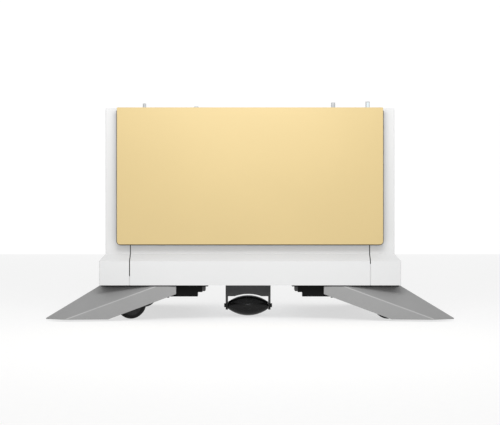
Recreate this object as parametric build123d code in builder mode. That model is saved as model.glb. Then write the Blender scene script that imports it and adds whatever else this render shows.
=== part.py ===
from build123d import *
import math
import os

# Large format roll-fed plotter: a bevelled cabinet with a top-hinged front door,
# standing on four splayed legs, four swivel casters and one centre roller.
# Frame: origin on the floor under the cabinet's middle, +X to the operator's right,
# -Y towards the operator, +Z up. Millimetres.

# --- Cabinet ---------------------------------------------------------------
CABINET_WIDTH = 1252.0
CABINET_DEPTH = 700.0
CABINET_HEIGHT = 765.0          # from the plinth's lower edge to the top
SKIN = 3.0                      # sheet of the covers
CABINET_EDGE_RADIUS = 4.0
PLINTH_HEIGHT = 104.0
PLINTH_SIDE_STEP = 24.0         # plinth beyond the cabinet, each side
PLINTH_FRONT_STEP = 30.0        # plinth beyond the cabinet, front and back
BEVEL_RISE = 30.0
SIDE_COVER_WIDTH = 130.0
SEAM_GAP = 4.0
SILL_HEIGHT = 185.0             # door sill above the plinth's lower edge
SILL_DEPTH = 18.0
LIP_HEIGHT = 24.0               # top cover's front lip
TONGUE_LEFT = 40.0              # joint tongues behind the front seams
TONGUE_RIGHT = 93.0
TONGUE_REACH = 8.0
TONGUE_THICKNESS = 2.5
COVER_GAP = 0.3                 # between pieces that lie one behind the other

# --- Undercarriage ---------------------------------------------------------
WHEEL_RADIUS = 62.5
WHEEL_WIDTH = 18.0
WHEEL_EDGE_RADIUS = 5.0
WHEEL_TRAIL = 41.0
FORK_THICKNESS = 10.0
FORK_SIDE_GAP = 1.5
AXLE_RADIUS = 5.0
RUNNING_CLEARANCE = 0.05
CASTER_INSET_X = 87.0           # swivel axis inside the plinth's side
CASTER_INSET_Y = 104.0
CROWN_RADIUS = 30.0
CROWN_HEIGHT = 9.0
CROWN_LIFT = 3.0                # crown's underside above the wheel's top
MOUNT_RADIUS = 38.0
MOUNT_THICKNESS = 4.0
RACE_RADIUS = 26.0
RACE_HEIGHT = 5.5
SWIVEL_GAP = 0.5
KINGPIN_RADIUS = 6.0
BASE_PLATE_THICKNESS = 5.0
BASE_PLATE_INSET = 9.0          # plate's outer edge inside the plinth's side
BASE_PLATE_BEYOND = 138.0       # plate's inner edge beyond the leg's inner end
BASE_PLATE_MARGIN = 5.0

LEG_WALL = 5.0
LEG_TOE_SPREAD = 225.0          # outer toe beyond the plinth's side
LEG_NOSE_SPREAD = 128.0         # front toe beyond the plinth's side
LEG_TOE_REACH = 10.0            # outer toe beyond the plinth's front
LEG_NOSE_REACH = 40.0           # front toe beyond the plinth's front
LEG_TOE_TOP = 13.0
LEG_TOE_BOTTOM = 8.0
LEG_RIDGE_INSET = 242.0         # ridge's upper end inside the plinth's side
LEG_END_INSET = 331.0           # inner end inside the plinth's side
LEG_END_HEIGHT = 33.0
LEG_SHOULDER_SPREAD = 7.0
LEG_SHOULDER_INSET = 75.0
LEG_FLANGE = 10.0
LEG_SKIRT = 22.0                # depth of the skirt along the leg's outer side
LEG_HEEL_INSET = 43.0           # where the front skirt starts to rise
LEG_RIDGE_RADIUS = 4.0

CLAMP_BEYOND = 92.0             # clamp block beyond the leg's inner end
CLAMP_HOLD = 49.0               # clamp block along the leg
CLAMP_COLLAR = 20.0
CLAMP_CAP = 14.0
CLAMP_DROP = 45.0
COLLAR_DROP = 26.0
CAP_DROP = 22.0
CLAMP_DEPTH = 50.0
CLAMP_BACK_GAP = 1.0
BOLT_HEAD_RADIUS = 6.0

ROLLER_RADIUS = 45.7
ROLLER_END_RADIUS = 16.0
ROLLER_LENGTH = 181.0
ROLLER_X = -8.6
ROLLER_Y = -153.0
ROLLER_SPLIT = 1.2              # width and depth of the parting groove at mid length
BRACKET_ARM = 10.0
BRACKET_GAP = 0.75              # bracket arm to roller end
BRACKET_DEPTH = 60.0
BRACKET_WEB = 5.0
BRACKET_ARM_RADIUS = 20.0
ARCH_CLEARANCE = 5.0
ROLLER_AXLE_RADIUS = 6.0
AXLE_NUT_RADIUS = 9.0
AXLE_NUT = 7.0

# --- Door ------------------------------------------------------------------
DOOR_OVERLAP = 54.0             # door beyond the seam, each side
DOOR_THICKNESS = 12.0
DOOR_GAP = 24.0                 # air between the cabinet and the door
DOOR_SHEET = 2.0
DOOR_LIFT = 176.0               # door's lower edge above the plinth's lower edge
DOOR_CORNER_RADIUS = 14.0
DOOR_TOP_RADIUS = 4.0
DOOR_EDGE_RADIUS = 1.5
HINGE_DROP = 11.0               # hinge pin below the door's top edge
HINGE_INSET = 82.0              # hinge inside the side plate
HINGE_PIN_RADIUS = 3.0
HINGE_LUG = 6.0
HINGE_BARREL = 20.0
HINGE_BARREL_RADIUS = 6.0
HINGE_SIDE_GAP = 0.4
HINGE_ROOT = 3.0                # root plate of a pair of lugs
LINER_RIB = 30.0                # height of the liner's raised ribs

# --- Frame -----------------------------------------------------------------
TRAY = 3.0
TRAY_GAP = 2.0
BEAM_WALL = 3.0
PLATE_FOOT = 40.0
PLATE = 4.0                     # side plates
PLATE_SETBACK = 14.0            # side plate inside the seam
PLATE_FRONT_GAP = 20.0
PLATE_REAR_GAP = 20.0
TOP_RAIL = 28.0
TOP_RAIL_GAP = 5.0

# --- Print engine ----------------------------------------------------------
PLATEN_Y = (-58.0, 82.0)
PLATEN_DROP = 205.0             # platen below the cabinet's top
PLATEN_THICKNESS = 3.0
PLATEN_RIB = 24.0
MEDIA_SIDE_ROOM = 45.0          # side plate to the end of a roll
FEED_RADIUS = 15.0
FEED_Y = -78.0
FEED_SHAFT = 5.0
PINCH_RADIUS = 7.0
PINCH_SHAFT = 3.0
PINCH_WIDTH = 28.0
PINCH_COUNT = 6
PINCH_GAP = 0.3
PINCH_ARM = 8.0
PINCH_BAR = 14.0
CARRIAGE_Y = (-50.0, 54.0)
CARRIAGE_WIDTH = 90.0
CARRIAGE_BOTTOM = 8.0           # above the platen
CARRIAGE_HEIGHT = 78.0
CARRIAGE_TOP_RADIUS = 12.0
CARRIAGE_CORNER_RADIUS = 6.0
ENGINE_SIDE_GAP = 9.0           # beam's end to the side cover
ROD_BRACKET = 12.0
CARRIAGE_SIDE_GAP = 5.0
HEAD_WIDTH = 17.0
HEAD_LENGTH = 64.0
HEAD_GAP = 0.4
HEAD_COUNT = 4
ROD_RADIUS = 8.0
ROD_Y = 72.0
ROD_LIFT = 56.0                 # guide rod above the platen
ENGINE_BEAM_Y = (92.0, 130.0)
ENGINE_BEAM_LIFT = (30.0, 118.0)
BELT_Y = 80.0
BELT_WIDTH = 8.0
BELT_THICKNESS = 1.5
PULLEY_RADIUS = 12.0
PULLEY_SHAFT = 3.0
PULLEY_RIM = 2.0                # flange beyond the belt's inner face
WINDOW_MARGIN = 8.0
STATION_HEIGHT = 70.0
CAP_HEIGHT = 5.0
MOTOR_RADIUS = 19.0
MOTOR_LENGTH = 56.0
MOTOR_STEP = 4.0                # end cap's radius below the motor's
MOTOR_CAP = 6.0

# --- Media rolls -----------------------------------------------------------
ROLL_RADIUS = 65.0
ROLL_CORE_RADIUS = 26.0
ROLL_Y = 0.0
ROLL_HEADROOM = 23.0            # platen's ribs to the upper roll
ROLL_SPACING = 20.0             # air between the two rolls
SPINDLE_RADIUS = 10.0
SPINDLE_FLANGE_RADIUS = 48.0
SPINDLE_FLANGE = 8.0
BEARING_WIDTH = 22.0
BEARING_SIZE = 44.0
BEARING_END_GAP = 1.0

# --- Ink -------------------------------------------------------------------
INK_NAMES = ("black", "cyan", "magenta", "yellow")
INK_WIDTH = 58.0
INK_HEIGHT = 66.0
INK_DEPTH = 120.0
INK_GAP = 1.0
INK_WALL = 3.0
INK_SIDE_ROOM = 127.0           # right side plate to the rack
INK_ROLL_ROOM = 47.0            # back of the rack to the rolls
INK_LIFT = 193.0                # rack's shelf above the cabinet's floor
INK_GRIP = 10.0

# --- Top -------------------------------------------------------------------
STOP_RAIL_SETBACK = 50.0        # rail's middle behind the cabinet's front
STOP_RAIL_WIDTH = 40.0
STOP_RAIL_END_GAP = 22.0        # rail's end to the edge of the top cover
STOP_RAIL_RISE = 2.0
STOP_RAIL_DEPTH = 10.0
STOP_GROOVE_WIDTH = 14.0
STOP_GROOVE_NECK = 8.0
STOP_GROOVE_LIP = 3.0
STOP_SLIDE_GAP = 0.3
STOP_PAD = 3.0                  # thickness and margin of a stop's pad
STOP_LEFT_INSET = 32.0          # left stop inside the rail's end
STOP_LEFT_SIZE = (7.5, 26.0)    # radius, and height above the top
STOP_RIGHT_INSET = 130.0
STOP_RIGHT_SIZE = (9.0, 30.0)
BUTTON_X = -238.0
BUTTON_SETBACK = 50.0           # button behind the stop rail
BUTTON_RADIUS = 12.0
BUTTON_RISE = 18.0
BUTTON_HOUSING_RADIUS = 15.0
BUTTON_HOUSING_RISE = 9.0
BUTTON_GAP = 0.4
BUTTON_DEPTH = 14.0
BUTTON_DOME_RADIUS = 5.0
BUTTON_SKIRT = 6.0
SWITCH_BLOCK = (14.0, 16.0)     # width and depth of the switch below the button
BEACON_INSET = 10.0             # beacon's middle beyond the seam
BEACON_SETBACK = 178.0          # and behind the cabinet's front
BEACON_STEM_RADIUS = 3.0
BEACON_SIZE = (18.0, 16.0, 48.0)
SHELF_SETBACK = 75.0            # shelf behind the stop rail
SHELF_REAR = 200.0              # and before the cabinet's back
SHELF_RISE = 2.0
SHELF_SIDE = 30.0
SLOT_SETBACK = 50.0             # exit slot behind the engine's beam
SLOT_WIDTH = 35.0
SLOT_END_GAP = 46.0             # slot's end to the edge of the top cover
GUIDE_SHEET = 1.5
GUIDE_GAP = 2.0                 # guide to platen

# --- Rear ------------------------------------------------------------------
INLET_INSET = 76.0              # inlet inside the edge of the rear cover
INLET_LIFT = 60.0
INLET_SIZE = (50.0, 32.0)
INLET_SOCKET = (26.0, 18.0)
INLET_SOCKET_DEPTH = 20.0
INLET_BLADE = (2.0, 14.0, 4.0)
INLET_BODY = 30.0
PANEL_RISE = 2.0                # frames beyond the rear cover
SWITCH_PITCH = 60.0             # switch beside the inlet
SWITCH_BODY = 26.0
SWITCH_SIZE = (20.0, 28.0)
SWITCH_ANGLE = 10.0
VENT_COUNT = 9
VENT_PITCH = 14.0
VENT_SIZE = (200.0, 5.0)
VENT_LIFT = 268.0
ROCKER_SIZE = (12.0, 18.0)
ROCKER_SETBACK = 8.0            # rocker's pivot behind the rear cover's face
ROCKER_RADIUS = 12.1
ROCKER_PIVOT = 1.5

# --- Electronics cover -----------------------------------------------------
UNIT_DEPTH = 392.0
UNIT_LIFT = 82.0                # above the cabinet's floor
UNIT_DROP = 115.0               # below the platen
UNIT_EDGE_RADIUS = 6.0
CABLE_OPENING = (50.0, 60.0)

# --- Worked out ------------------------------------------------------------
HALF_WIDTH = CABINET_WIDTH / 2
HALF_DEPTH = CABINET_DEPTH / 2
PLINTH_X = HALF_WIDTH + PLINTH_SIDE_STEP
PLINTH_Y = HALF_DEPTH + PLINTH_FRONT_STEP
LEG_END = PLINTH_X - LEG_END_INSET
CROWN_BOTTOM = 2 * WHEEL_RADIUS + CROWN_LIFT
PLATE_BOTTOM = (CROWN_BOTTOM + CROWN_HEIGHT + SWIVEL_GAP + RACE_HEIGHT + MOUNT_THICKNESS)
BOTTOM = PLATE_BOTTOM + BASE_PLATE_THICKNESS
TOP = BOTTOM + CABINET_HEIGHT
SEAM = PLINTH_X - SIDE_COVER_WIDTH
CENTRE_EDGE = SEAM - SEAM_GAP
DOOR_BACK = -HALF_DEPTH - DOOR_GAP
DOOR_HALF = SEAM + DOOR_OVERLAP - SEAM_GAP / 2
DOOR_BOTTOM = BOTTOM + DOOR_LIFT
HINGE_Y = -HALF_DEPTH - DOOR_GAP / 2
HINGE_Z = TOP - HINGE_DROP
SILL = BOTTOM + SILL_HEIGHT
PLATE_X = CENTRE_EDGE - PLATE_SETBACK
HINGE_X = PLATE_X - HINGE_INSET
DECK = BOTTOM + TRAY
PLATEN_TOP = TOP - PLATEN_DROP
PLATEN_BOTTOM = PLATEN_TOP - PLATEN_THICKNESS
MEDIA_WIDTH = 2 * (PLATE_X - MEDIA_SIDE_ROOM)
UPPER_ROLL = PLATEN_TOP - PLATEN_RIB - ROLL_HEADROOM - ROLL_RADIUS
ROLL_LEVELS = {"upper": UPPER_ROLL, "lower": UPPER_ROLL - 2 * ROLL_RADIUS - ROLL_SPACING}
INK_PITCH = INK_WIDTH + 2 * INK_GAP + INK_WALL
INK_X = PLATE_X - INK_SIDE_ROOM - len(INK_NAMES) * INK_PITCH - INK_WALL
INK_FRONT = ROLL_Y - ROLL_RADIUS - INK_ROLL_ROOM - INK_DEPTH - INK_GAP - INK_WALL
INK_FLOOR = DECK + INK_LIFT
STOP_RAIL_Y = -HALF_DEPTH + STOP_RAIL_SETBACK
STOP_RAIL_HALF = CENTRE_EDGE - STOP_RAIL_END_GAP
BUTTON_AT = (BUTTON_X, STOP_RAIL_Y + BUTTON_SETBACK)
BEACON_AT = (SEAM + BEACON_INSET, -HALF_DEPTH + BEACON_SETBACK)
SHELF_Y = (STOP_RAIL_Y + SHELF_SETBACK, HALF_DEPTH - SHELF_REAR)
SLOT_Y = (ENGINE_BEAM_Y[1] + SLOT_SETBACK, ENGINE_BEAM_Y[1] + SLOT_SETBACK + SLOT_WIDTH)
SLOT_HALF = CENTRE_EDGE - SLOT_END_GAP
INLET_X = -CENTRE_EDGE + INLET_INSET
INLET_Z = BOTTOM + INLET_LIFT
SWITCH_X = INLET_X + SWITCH_PITCH
VENT_Z = BOTTOM + VENT_LIFT
ROCKER_Y = PLINTH_Y - ROCKER_SETBACK
ENGINE_END = HALF_WIDTH - SKIN - ENGINE_SIDE_GAP
PARK_X = ENGINE_END - ROD_BRACKET - CARRIAGE_SIDE_GAP - CARRIAGE_WIDTH / 2
ROD_AT = (ROD_Y, PLATEN_TOP + ROD_LIFT)
PULLEY_AT = PLATEN_TOP + ENGINE_BEAM_LIFT[1] - PULLEY_RADIUS - PULLEY_RIM
PULLEY_PLACE = ENGINE_END - ROD_BRACKET
PINCH_Z = PLATEN_TOP + PINCH_GAP + PINCH_RADIUS
PINCH_PITCH = MEDIA_WIDTH / PINCH_COUNT
CASTERS = {
    "front_left": (-1, -1),
    "front_right": (1, -1),
    "rear_left": (-1, 1),
    "rear_right": (1, 1),
}
CASTER_X = PLINTH_X - CASTER_INSET_X
CASTER_Y = PLINTH_Y - CASTER_INSET_Y

TURNS = {"x": (0, 90, 0), "y": (90, 0, 0), "z": (0, 0, 0)}


def save(builder, name):
    """Label a finished piece and write it as its own file."""
    builder.part.label = name
    export_step(builder.part, f"parts/{name}.step")


def block(x, y, z, mode=Mode.ADD):
    """A box given by its two limits along each axis."""
    with Locations((sum(x) / 2, sum(y) / 2, sum(z) / 2)):
        Box(abs(x[1] - x[0]), abs(y[1] - y[0]), abs(z[1] - z[0]), mode=mode)


def rod(axis, radius, span, at, mode=Mode.ADD):
    """A round bar along one axis between two limits; at holds its other two coordinates."""
    place = list(at)
    place.insert("xyz".index(axis), sum(span) / 2)
    with Locations(tuple(place)):
        Cylinder(radius, abs(span[1] - span[0]), rotation=TURNS[axis], mode=mode)


# --- Covers ----------------------------------------------------------------
def cabinet_outline(half, plinth_half, inset, floor):
    """Closed outline of the cabinet with its plinth and bevel, moved in by inset."""
    lean = (plinth_half - half) / BEVEL_RISE
    shift = inset * (math.sqrt(1 + lean * lean) - 1) / lean
    wide, narrow = plinth_half - inset, half - inset
    low, high = BOTTOM + PLINTH_HEIGHT, BOTTOM + PLINTH_HEIGHT + BEVEL_RISE
    right = [(wide, floor), (wide, low - shift), (narrow, high - shift), (narrow, TOP - inset)]
    return right + [(-x, z) for x, z in reversed(right)]


def cabinet_form(inset, floor):
    """The cabinet's whole outer form, moved in by inset, down to the height floor."""
    with BuildPart() as form:
        with BuildSketch(Plane.YZ):
            with BuildLine():
                Polyline(cabinet_outline(HALF_DEPTH, PLINTH_Y, inset, floor), close=True)
            make_face()
        extrude(amount=PLINTH_X, both=True)
        with BuildSketch(Plane.XZ):
            with BuildLine():
                Polyline(cabinet_outline(HALF_WIDTH, PLINTH_X, inset, floor), close=True)
            make_face()
        extrude(amount=PLINTH_Y, both=True, mode=Mode.INTERSECT)
        if inset == 0:
            corners = form.edges().filter_by(lambda edge: abs(edge.tangent_at(0.5).Z) > 0.1)
            fillet(corners, CABINET_EDGE_RADIUS)
            fillet(form.faces().sort_by(Axis.Z)[-1].edges(), CABINET_EDGE_RADIUS)
    return form.part


with BuildPart() as cabinet_shell:
    add(cabinet_form(0, BOTTOM))
    add(cabinet_form(SKIN, BOTTOM - SKIN), mode=Mode.SUBTRACT)


def keep_region(x, y, z):
    """Keep what of the part lies in a box."""
    block(x, y, z, mode=Mode.INTERSECT)


def side_cover(side, tongue):
    """Side cover, with the tongue that closes the lower part of its front seam."""
    inner, outer = side * SEAM, side * (PLINTH_X + 1)
    with BuildPart() as cover:
        add(cabinet_shell.part)
        keep_region((inner, outer), (-PLINTH_Y - 1, PLINTH_Y + 1), (BOTTOM - 1, TOP + 1))
        back = -PLINTH_Y + SKIN + COVER_GAP
        tongue_x = (side * (CENTRE_EDGE - TONGUE_REACH), side * (SEAM + TONGUE_REACH))
        block(tongue_x, (back, back + TONGUE_THICKNESS), (BOTTOM + COVER_GAP, BOTTOM + tongue))
        root_x = (side * (SEAM + 1), side * (SEAM + TONGUE_REACH))
        block(root_x, (-PLINTH_Y + SKIN, back), (BOTTOM + COVER_GAP, BOTTOM + tongue))
        if side > 0:
            rod("z", BEACON_STEM_RADIUS, (TOP - SKIN, TOP), BEACON_AT, mode=Mode.SUBTRACT)
    return cover


def front_cover():
    """Plinth front, bevel and door sill between the side covers."""
    with BuildPart() as cover:
        add(cabinet_shell.part)
        keep_region((-CENTRE_EDGE, CENTRE_EDGE), (-PLINTH_Y - 1, -HALF_DEPTH + SKIN), (BOTTOM - 1, SILL))
        block(
            (-CENTRE_EDGE, CENTRE_EDGE),
            (-HALF_DEPTH, -HALF_DEPTH + SILL_DEPTH),
            (SILL - SKIN, SILL),
        )
        fillet(cover.edges().filter_by(Axis.X).group_by(Axis.Z)[-1].sort_by(Axis.Y)[:1], SKIN / 2)
    return cover


def rear_cover():
    """Rear wall between the side covers, with vents and the mains cut-outs."""
    with BuildPart() as cover:
        add(cabinet_shell.part)
        keep_region(
            (-CENTRE_EDGE, CENTRE_EDGE),
            (HALF_DEPTH - SKIN, PLINTH_Y + 1),
            (BOTTOM - 1, TOP - CABINET_EDGE_RADIUS - COVER_GAP),
        )
        for index in range(VENT_COUNT):
            for side in (-1, 1):
                level = VENT_Z + index * VENT_PITCH
                middle = side * CENTRE_EDGE / 2
                x = (middle - VENT_SIZE[0] / 2, middle + VENT_SIZE[0] / 2)
                z = (level, level + VENT_SIZE[1])
                block(x, (HALF_DEPTH - SKIN - 1, HALF_DEPTH + 1), z, mode=Mode.SUBTRACT)
        for middle, size in ((INLET_X, INLET_SIZE), (SWITCH_X, SWITCH_SIZE)):
            x = (middle - size[0] / 2 - COVER_GAP, middle + size[0] / 2 + COVER_GAP)
            z = (INLET_Z - size[1] / 2 - COVER_GAP, INLET_Z + size[1] / 2 + COVER_GAP)
            block(x, (PLINTH_Y - SKIN - 1, PLINTH_Y + 1), z, mode=Mode.SUBTRACT)
    return cover


def top_cover():
    """Top between the side covers: raised shelf, paper exit, stop rail seat and front lip."""
    with BuildPart() as cover:
        add(cabinet_shell.part)
        keep_region((-CENTRE_EDGE, CENTRE_EDGE), (-PLINTH_Y, PLINTH_Y), (TOP - LIP_HEIGHT, TOP + 1))
        drop = (TOP - LIP_HEIGHT - 1, TOP - CABINET_EDGE_RADIUS)
        block((-SEAM, SEAM), (0, PLINTH_Y), drop, mode=Mode.SUBTRACT)
        block((-CENTRE_EDGE + SHELF_SIDE, CENTRE_EDGE - SHELF_SIDE), SHELF_Y, (TOP - 1, TOP + SHELF_RISE))
        block((-SLOT_HALF, SLOT_HALF), SLOT_Y, (TOP - SKIN - 1, TOP + 1), mode=Mode.SUBTRACT)
        half = STOP_RAIL_WIDTH / 2 + COVER_GAP
        end = STOP_RAIL_HALF + COVER_GAP
        rail_y = (STOP_RAIL_Y - half, STOP_RAIL_Y + half)
        block((-end, end), rail_y, (TOP - SKIN - 1, TOP + 1), mode=Mode.SUBTRACT)
        rod("z", BUTTON_RADIUS + BUTTON_GAP, (TOP - SKIN - 1, TOP + 1), BUTTON_AT, mode=Mode.SUBTRACT)
        for side in (-1, 1):
            reach = HINGE_BARREL / 2 + HINGE_LUG + SKIN
            x = (side * HINGE_X - reach, side * HINGE_X + reach)
            z = (TOP - LIP_HEIGHT - 1, TOP - CABINET_EDGE_RADIUS)
            block(x, (-HALF_DEPTH - 1, -HALF_DEPTH + SKIN + 1), z, mode=Mode.SUBTRACT)
    return cover


# --- Undercarriage ---------------------------------------------------------
def base_plate():
    """The two steel plates that carry the legs, each with its casters' mounts and kingpins."""
    with BuildPart() as plates:
        for side in (-1, 1):
            x = (side * (LEG_END - BASE_PLATE_BEYOND), side * (PLINTH_X - BASE_PLATE_INSET))
            reach = PLINTH_Y - BASE_PLATE_MARGIN
            block(x, (-reach, reach), (PLATE_BOTTOM, BOTTOM))
        for side, end in CASTERS.values():
            at = (side * CASTER_X, end * CASTER_Y)
            race_top = PLATE_BOTTOM - MOUNT_THICKNESS
            race_bottom = race_top - RACE_HEIGHT
            rod("z", MOUNT_RADIUS, (race_top, PLATE_BOTTOM), at)
            rod("z", RACE_RADIUS, (race_bottom, race_top), at)
            rod("z", KINGPIN_RADIUS, (CROWN_BOTTOM + 2 * SWIVEL_GAP, race_bottom), at)
    return plates


def leg_points():
    """Plan of the front-left leg: outer toe, nose, ridge end, inner end and shoulder."""
    outer_toe = (-PLINTH_X - LEG_TOE_SPREAD, -PLINTH_Y - LEG_TOE_REACH)
    nose = (-PLINTH_X - LEG_NOSE_SPREAD, -PLINTH_Y - LEG_NOSE_REACH)
    ridge_end = (-PLINTH_X + LEG_RIDGE_INSET, -PLINTH_Y - 1)
    slope = (ridge_end[1] - nose[1]) / (ridge_end[0] - nose[0])
    end_x = -PLINTH_X + LEG_END_INSET
    inner_end = (end_x, nose[1] + slope * (end_x - nose[0]))
    shoulder = (-PLINTH_X - LEG_SHOULDER_SPREAD, -PLINTH_Y + LEG_SHOULDER_INSET)
    return outer_toe, nose, ridge_end, inner_end, shoulder


def leg_roof(drop):
    """The plane of the leg's sloping top, lowered by drop along its normal."""
    outer_toe, nose, ridge_end, _, _ = leg_points()
    corner = Vector(nose[0], nose[1], LEG_TOE_TOP)
    along = Vector(ridge_end[0], ridge_end[1], PLATE_BOTTOM) - corner
    across = corner - Vector(outer_toe[0], outer_toe[1], LEG_TOE_TOP)
    normal = across.cross(along).normalized()
    return Plane(origin=corner - normal * drop, z_dir=normal)


def leg_hollow():
    """The space inside a leg, open below and towards the caster."""
    outer_toe, nose, _, inner_end, shoulder = leg_points()
    run = Vector(*shoulder) - Vector(*outer_toe)
    beyond = Vector(*shoulder) + run.normalized() * LEG_END_INSET
    with BuildPart() as hollow:
        with BuildSketch(Plane.XY.offset(-LEG_WALL)):
            with BuildLine():
                Polyline(
                    outer_toe,
                    nose,
                    inner_end,
                    (inner_end[0], beyond.Y),
                    (beyond.X, beyond.Y),
                    close=True,
                )
            make_face()
            offset(amount=-LEG_WALL, kind=Kind.INTERSECTION, mode=Mode.REPLACE)
        extrude(amount=PLATE_BOTTOM)
        split(bisect_by=leg_roof(LEG_WALL), keep=Keep.BOTTOM)
    return hollow.part


def leg_skirt_cut():
    """What is cut away below the leg's outer skirt, to let the caster turn."""
    outer_toe, _, _, _, shoulder = leg_points()
    with BuildPart() as cut:
        with BuildSketch(Plane.XY):
            with BuildLine():
                Polyline(
                    (outer_toe[0] + LEG_SKIRT, outer_toe[1] + LEG_WALL),
                    (outer_toe[0] + LEG_SKIRT, 0),
                    (shoulder[0] + 2 * LEG_SKIRT, 0),
                    (shoulder[0] + 2 * LEG_SKIRT, shoulder[1] - LEG_WALL),
                    close=True,
                )
            make_face()
        extrude(amount=PLATE_BOTTOM)
        split(bisect_by=leg_roof(LEG_SKIRT), keep=Keep.BOTTOM)
    return cut.part


def leg_front_left():
    """Splayed leg: a sloping top with a front skirt, a low outer skirt and a fixing flange."""
    outer_toe, nose, ridge_end, inner_end, shoulder = leg_points()
    flange_y = ridge_end[1] + 2 * LEG_FLANGE + LEG_WALL
    bend_x = ridge_end[0] - 4 * LEG_FLANGE
    run = (Vector(*shoulder) - Vector(*outer_toe)).normalized() * LEG_FLANGE
    flange_end = (shoulder[0] + run.X, shoulder[1] + run.Y)
    with BuildPart() as leg:
        with BuildSketch(Plane.XY.offset(LEG_TOE_BOTTOM)):
            with BuildLine():
                Polyline(
                    outer_toe,
                    nose,
                    inner_end,
                    (inner_end[0], flange_y),
                    (bend_x, flange_y),
                    flange_end,
                    close=True,
                )
            make_face()
        extrude(amount=PLATE_BOTTOM - LEG_TOE_BOTTOM)
        split(bisect_by=leg_roof(0), keep=Keep.BOTTOM)
        ridge = leg.edges().filter_by_position(Axis.X, nose[0] - 1, ridge_end[0] + 1)
        ridge = ridge.sort_by(lambda edge: abs(edge.length - Vector(*nose).sub(Vector(*ridge_end)).length))
        fillet(ridge[0], LEG_RIDGE_RADIUS)
        add(leg_hollow(), mode=Mode.SUBTRACT)
        heel = (-PLINTH_X + LEG_HEEL_INSET, LEG_TOE_BOTTOM)
        end = (inner_end[0] + 1, PLATE_BOTTOM - LEG_END_HEIGHT)
        with BuildSketch(Plane.XZ):
            with BuildLine():
                Polyline(heel, end, (end[0], 0), (heel[0], 0), close=True)
            make_face()
        extrude(amount=2 * PLINTH_Y, mode=Mode.SUBTRACT)
        add(leg_skirt_cut(), mode=Mode.SUBTRACT)
    return leg


def mirrored_leg(leg, side, end):
    """The front-left leg mirrored to another corner."""
    with BuildPart() as copy:
        shape = leg.part
        if side > 0:
            shape = mirror(shape, about=Plane.YZ, mode=Mode.PRIVATE)
        if end > 0:
            shape = mirror(shape, about=Plane.XZ, mode=Mode.PRIVATE)
        add(shape)
    return copy


def leg_clamps():
    """A clamp block, its collar and its bolt behind each leg's inner end."""
    depth = PLINTH_Y + 1 - 2 * LEG_FLANGE - LEG_WALL - CLAMP_BACK_GAP
    with BuildPart() as clamps:
        for side, end in CASTERS.values():
            y = (end * depth, end * (depth - CLAMP_DEPTH))
            bar = (side * (LEG_END - CLAMP_BEYOND), side * (LEG_END + CLAMP_HOLD))
            block(bar, y, (PLATE_BOTTOM - CLAMP_DROP, PLATE_BOTTOM))
            collar = (bar[0] - side * CLAMP_COLLAR, bar[0])
            block(collar, y, (PLATE_BOTTOM - COLLAR_DROP, PLATE_BOTTOM))
            bolt_at = (bar[1] - side * 2 * BOLT_HEAD_RADIUS, end * (depth - CLAMP_DEPTH / 3))
            bottom = PLATE_BOTTOM - CLAMP_DROP
            rod("z", BOLT_HEAD_RADIUS, (bottom - BOLT_HEAD_RADIUS, bottom), bolt_at)
    return clamps


def clamp_end_caps():
    """Grey caps that close the inner ends of the clamps."""
    depth = PLINTH_Y + 1 - 2 * LEG_FLANGE - LEG_WALL - CLAMP_BACK_GAP
    inner = LEG_END - CLAMP_BEYOND - CLAMP_COLLAR
    with BuildPart() as caps:
        for side, end in CASTERS.values():
            y = (end * (depth - 2), end * (depth - CLAMP_DEPTH + 2))
            block((side * (inner - CLAMP_CAP), side * inner), y, (PLATE_BOTTOM - CAP_DROP, PLATE_BOTTOM))
        fillet(caps.edges().filter_by(Axis.Y).group_by(Axis.Z)[0], 4)
    return caps


def caster_fork(side, end):
    """Swivel crown with a central blade and the axle of two wheels."""
    x, y = side * CASTER_X, end * CASTER_Y
    axle_x = x + WHEEL_TRAIL
    crown_top = CROWN_BOTTOM + CROWN_HEIGHT
    axle_end = FORK_THICKNESS / 2 + 2 * FORK_SIDE_GAP + WHEEL_WIDTH
    with BuildPart() as fork:
        rod("z", CROWN_RADIUS, (CROWN_BOTTOM, crown_top), (x, y))
        fillet(fork.edges().filter_by(GeomType.CIRCLE), 1.5)
        with BuildSketch(Plane.XZ.offset(-y)):
            with Locations((axle_x, WHEEL_RADIUS)):
                Circle(1.5 * AXLE_RADIUS + FORK_THICKNESS / 2)
            with Locations((x, CROWN_BOTTOM + CROWN_HEIGHT / 3)):
                Rectangle(1.5 * CROWN_RADIUS, CROWN_HEIGHT / 2)
            make_hull()
        extrude(amount=FORK_THICKNESS / 2, both=True)
        bore = KINGPIN_RADIUS + RUNNING_CLEARANCE
        rod("z", bore, (CROWN_BOTTOM + SWIVEL_GAP, crown_top), (x, y), mode=Mode.SUBTRACT)
        axle_at = (axle_x, WHEEL_RADIUS)
        rod("y", AXLE_RADIUS, (y - axle_end, y + axle_end), axle_at)
        for face in (-1, 1):
            cap = (y + face * axle_end, y + face * (axle_end + 2 * FORK_SIDE_GAP / 3))
            rod("y", 1.6 * AXLE_RADIUS, cap, axle_at)
    return fork


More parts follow.
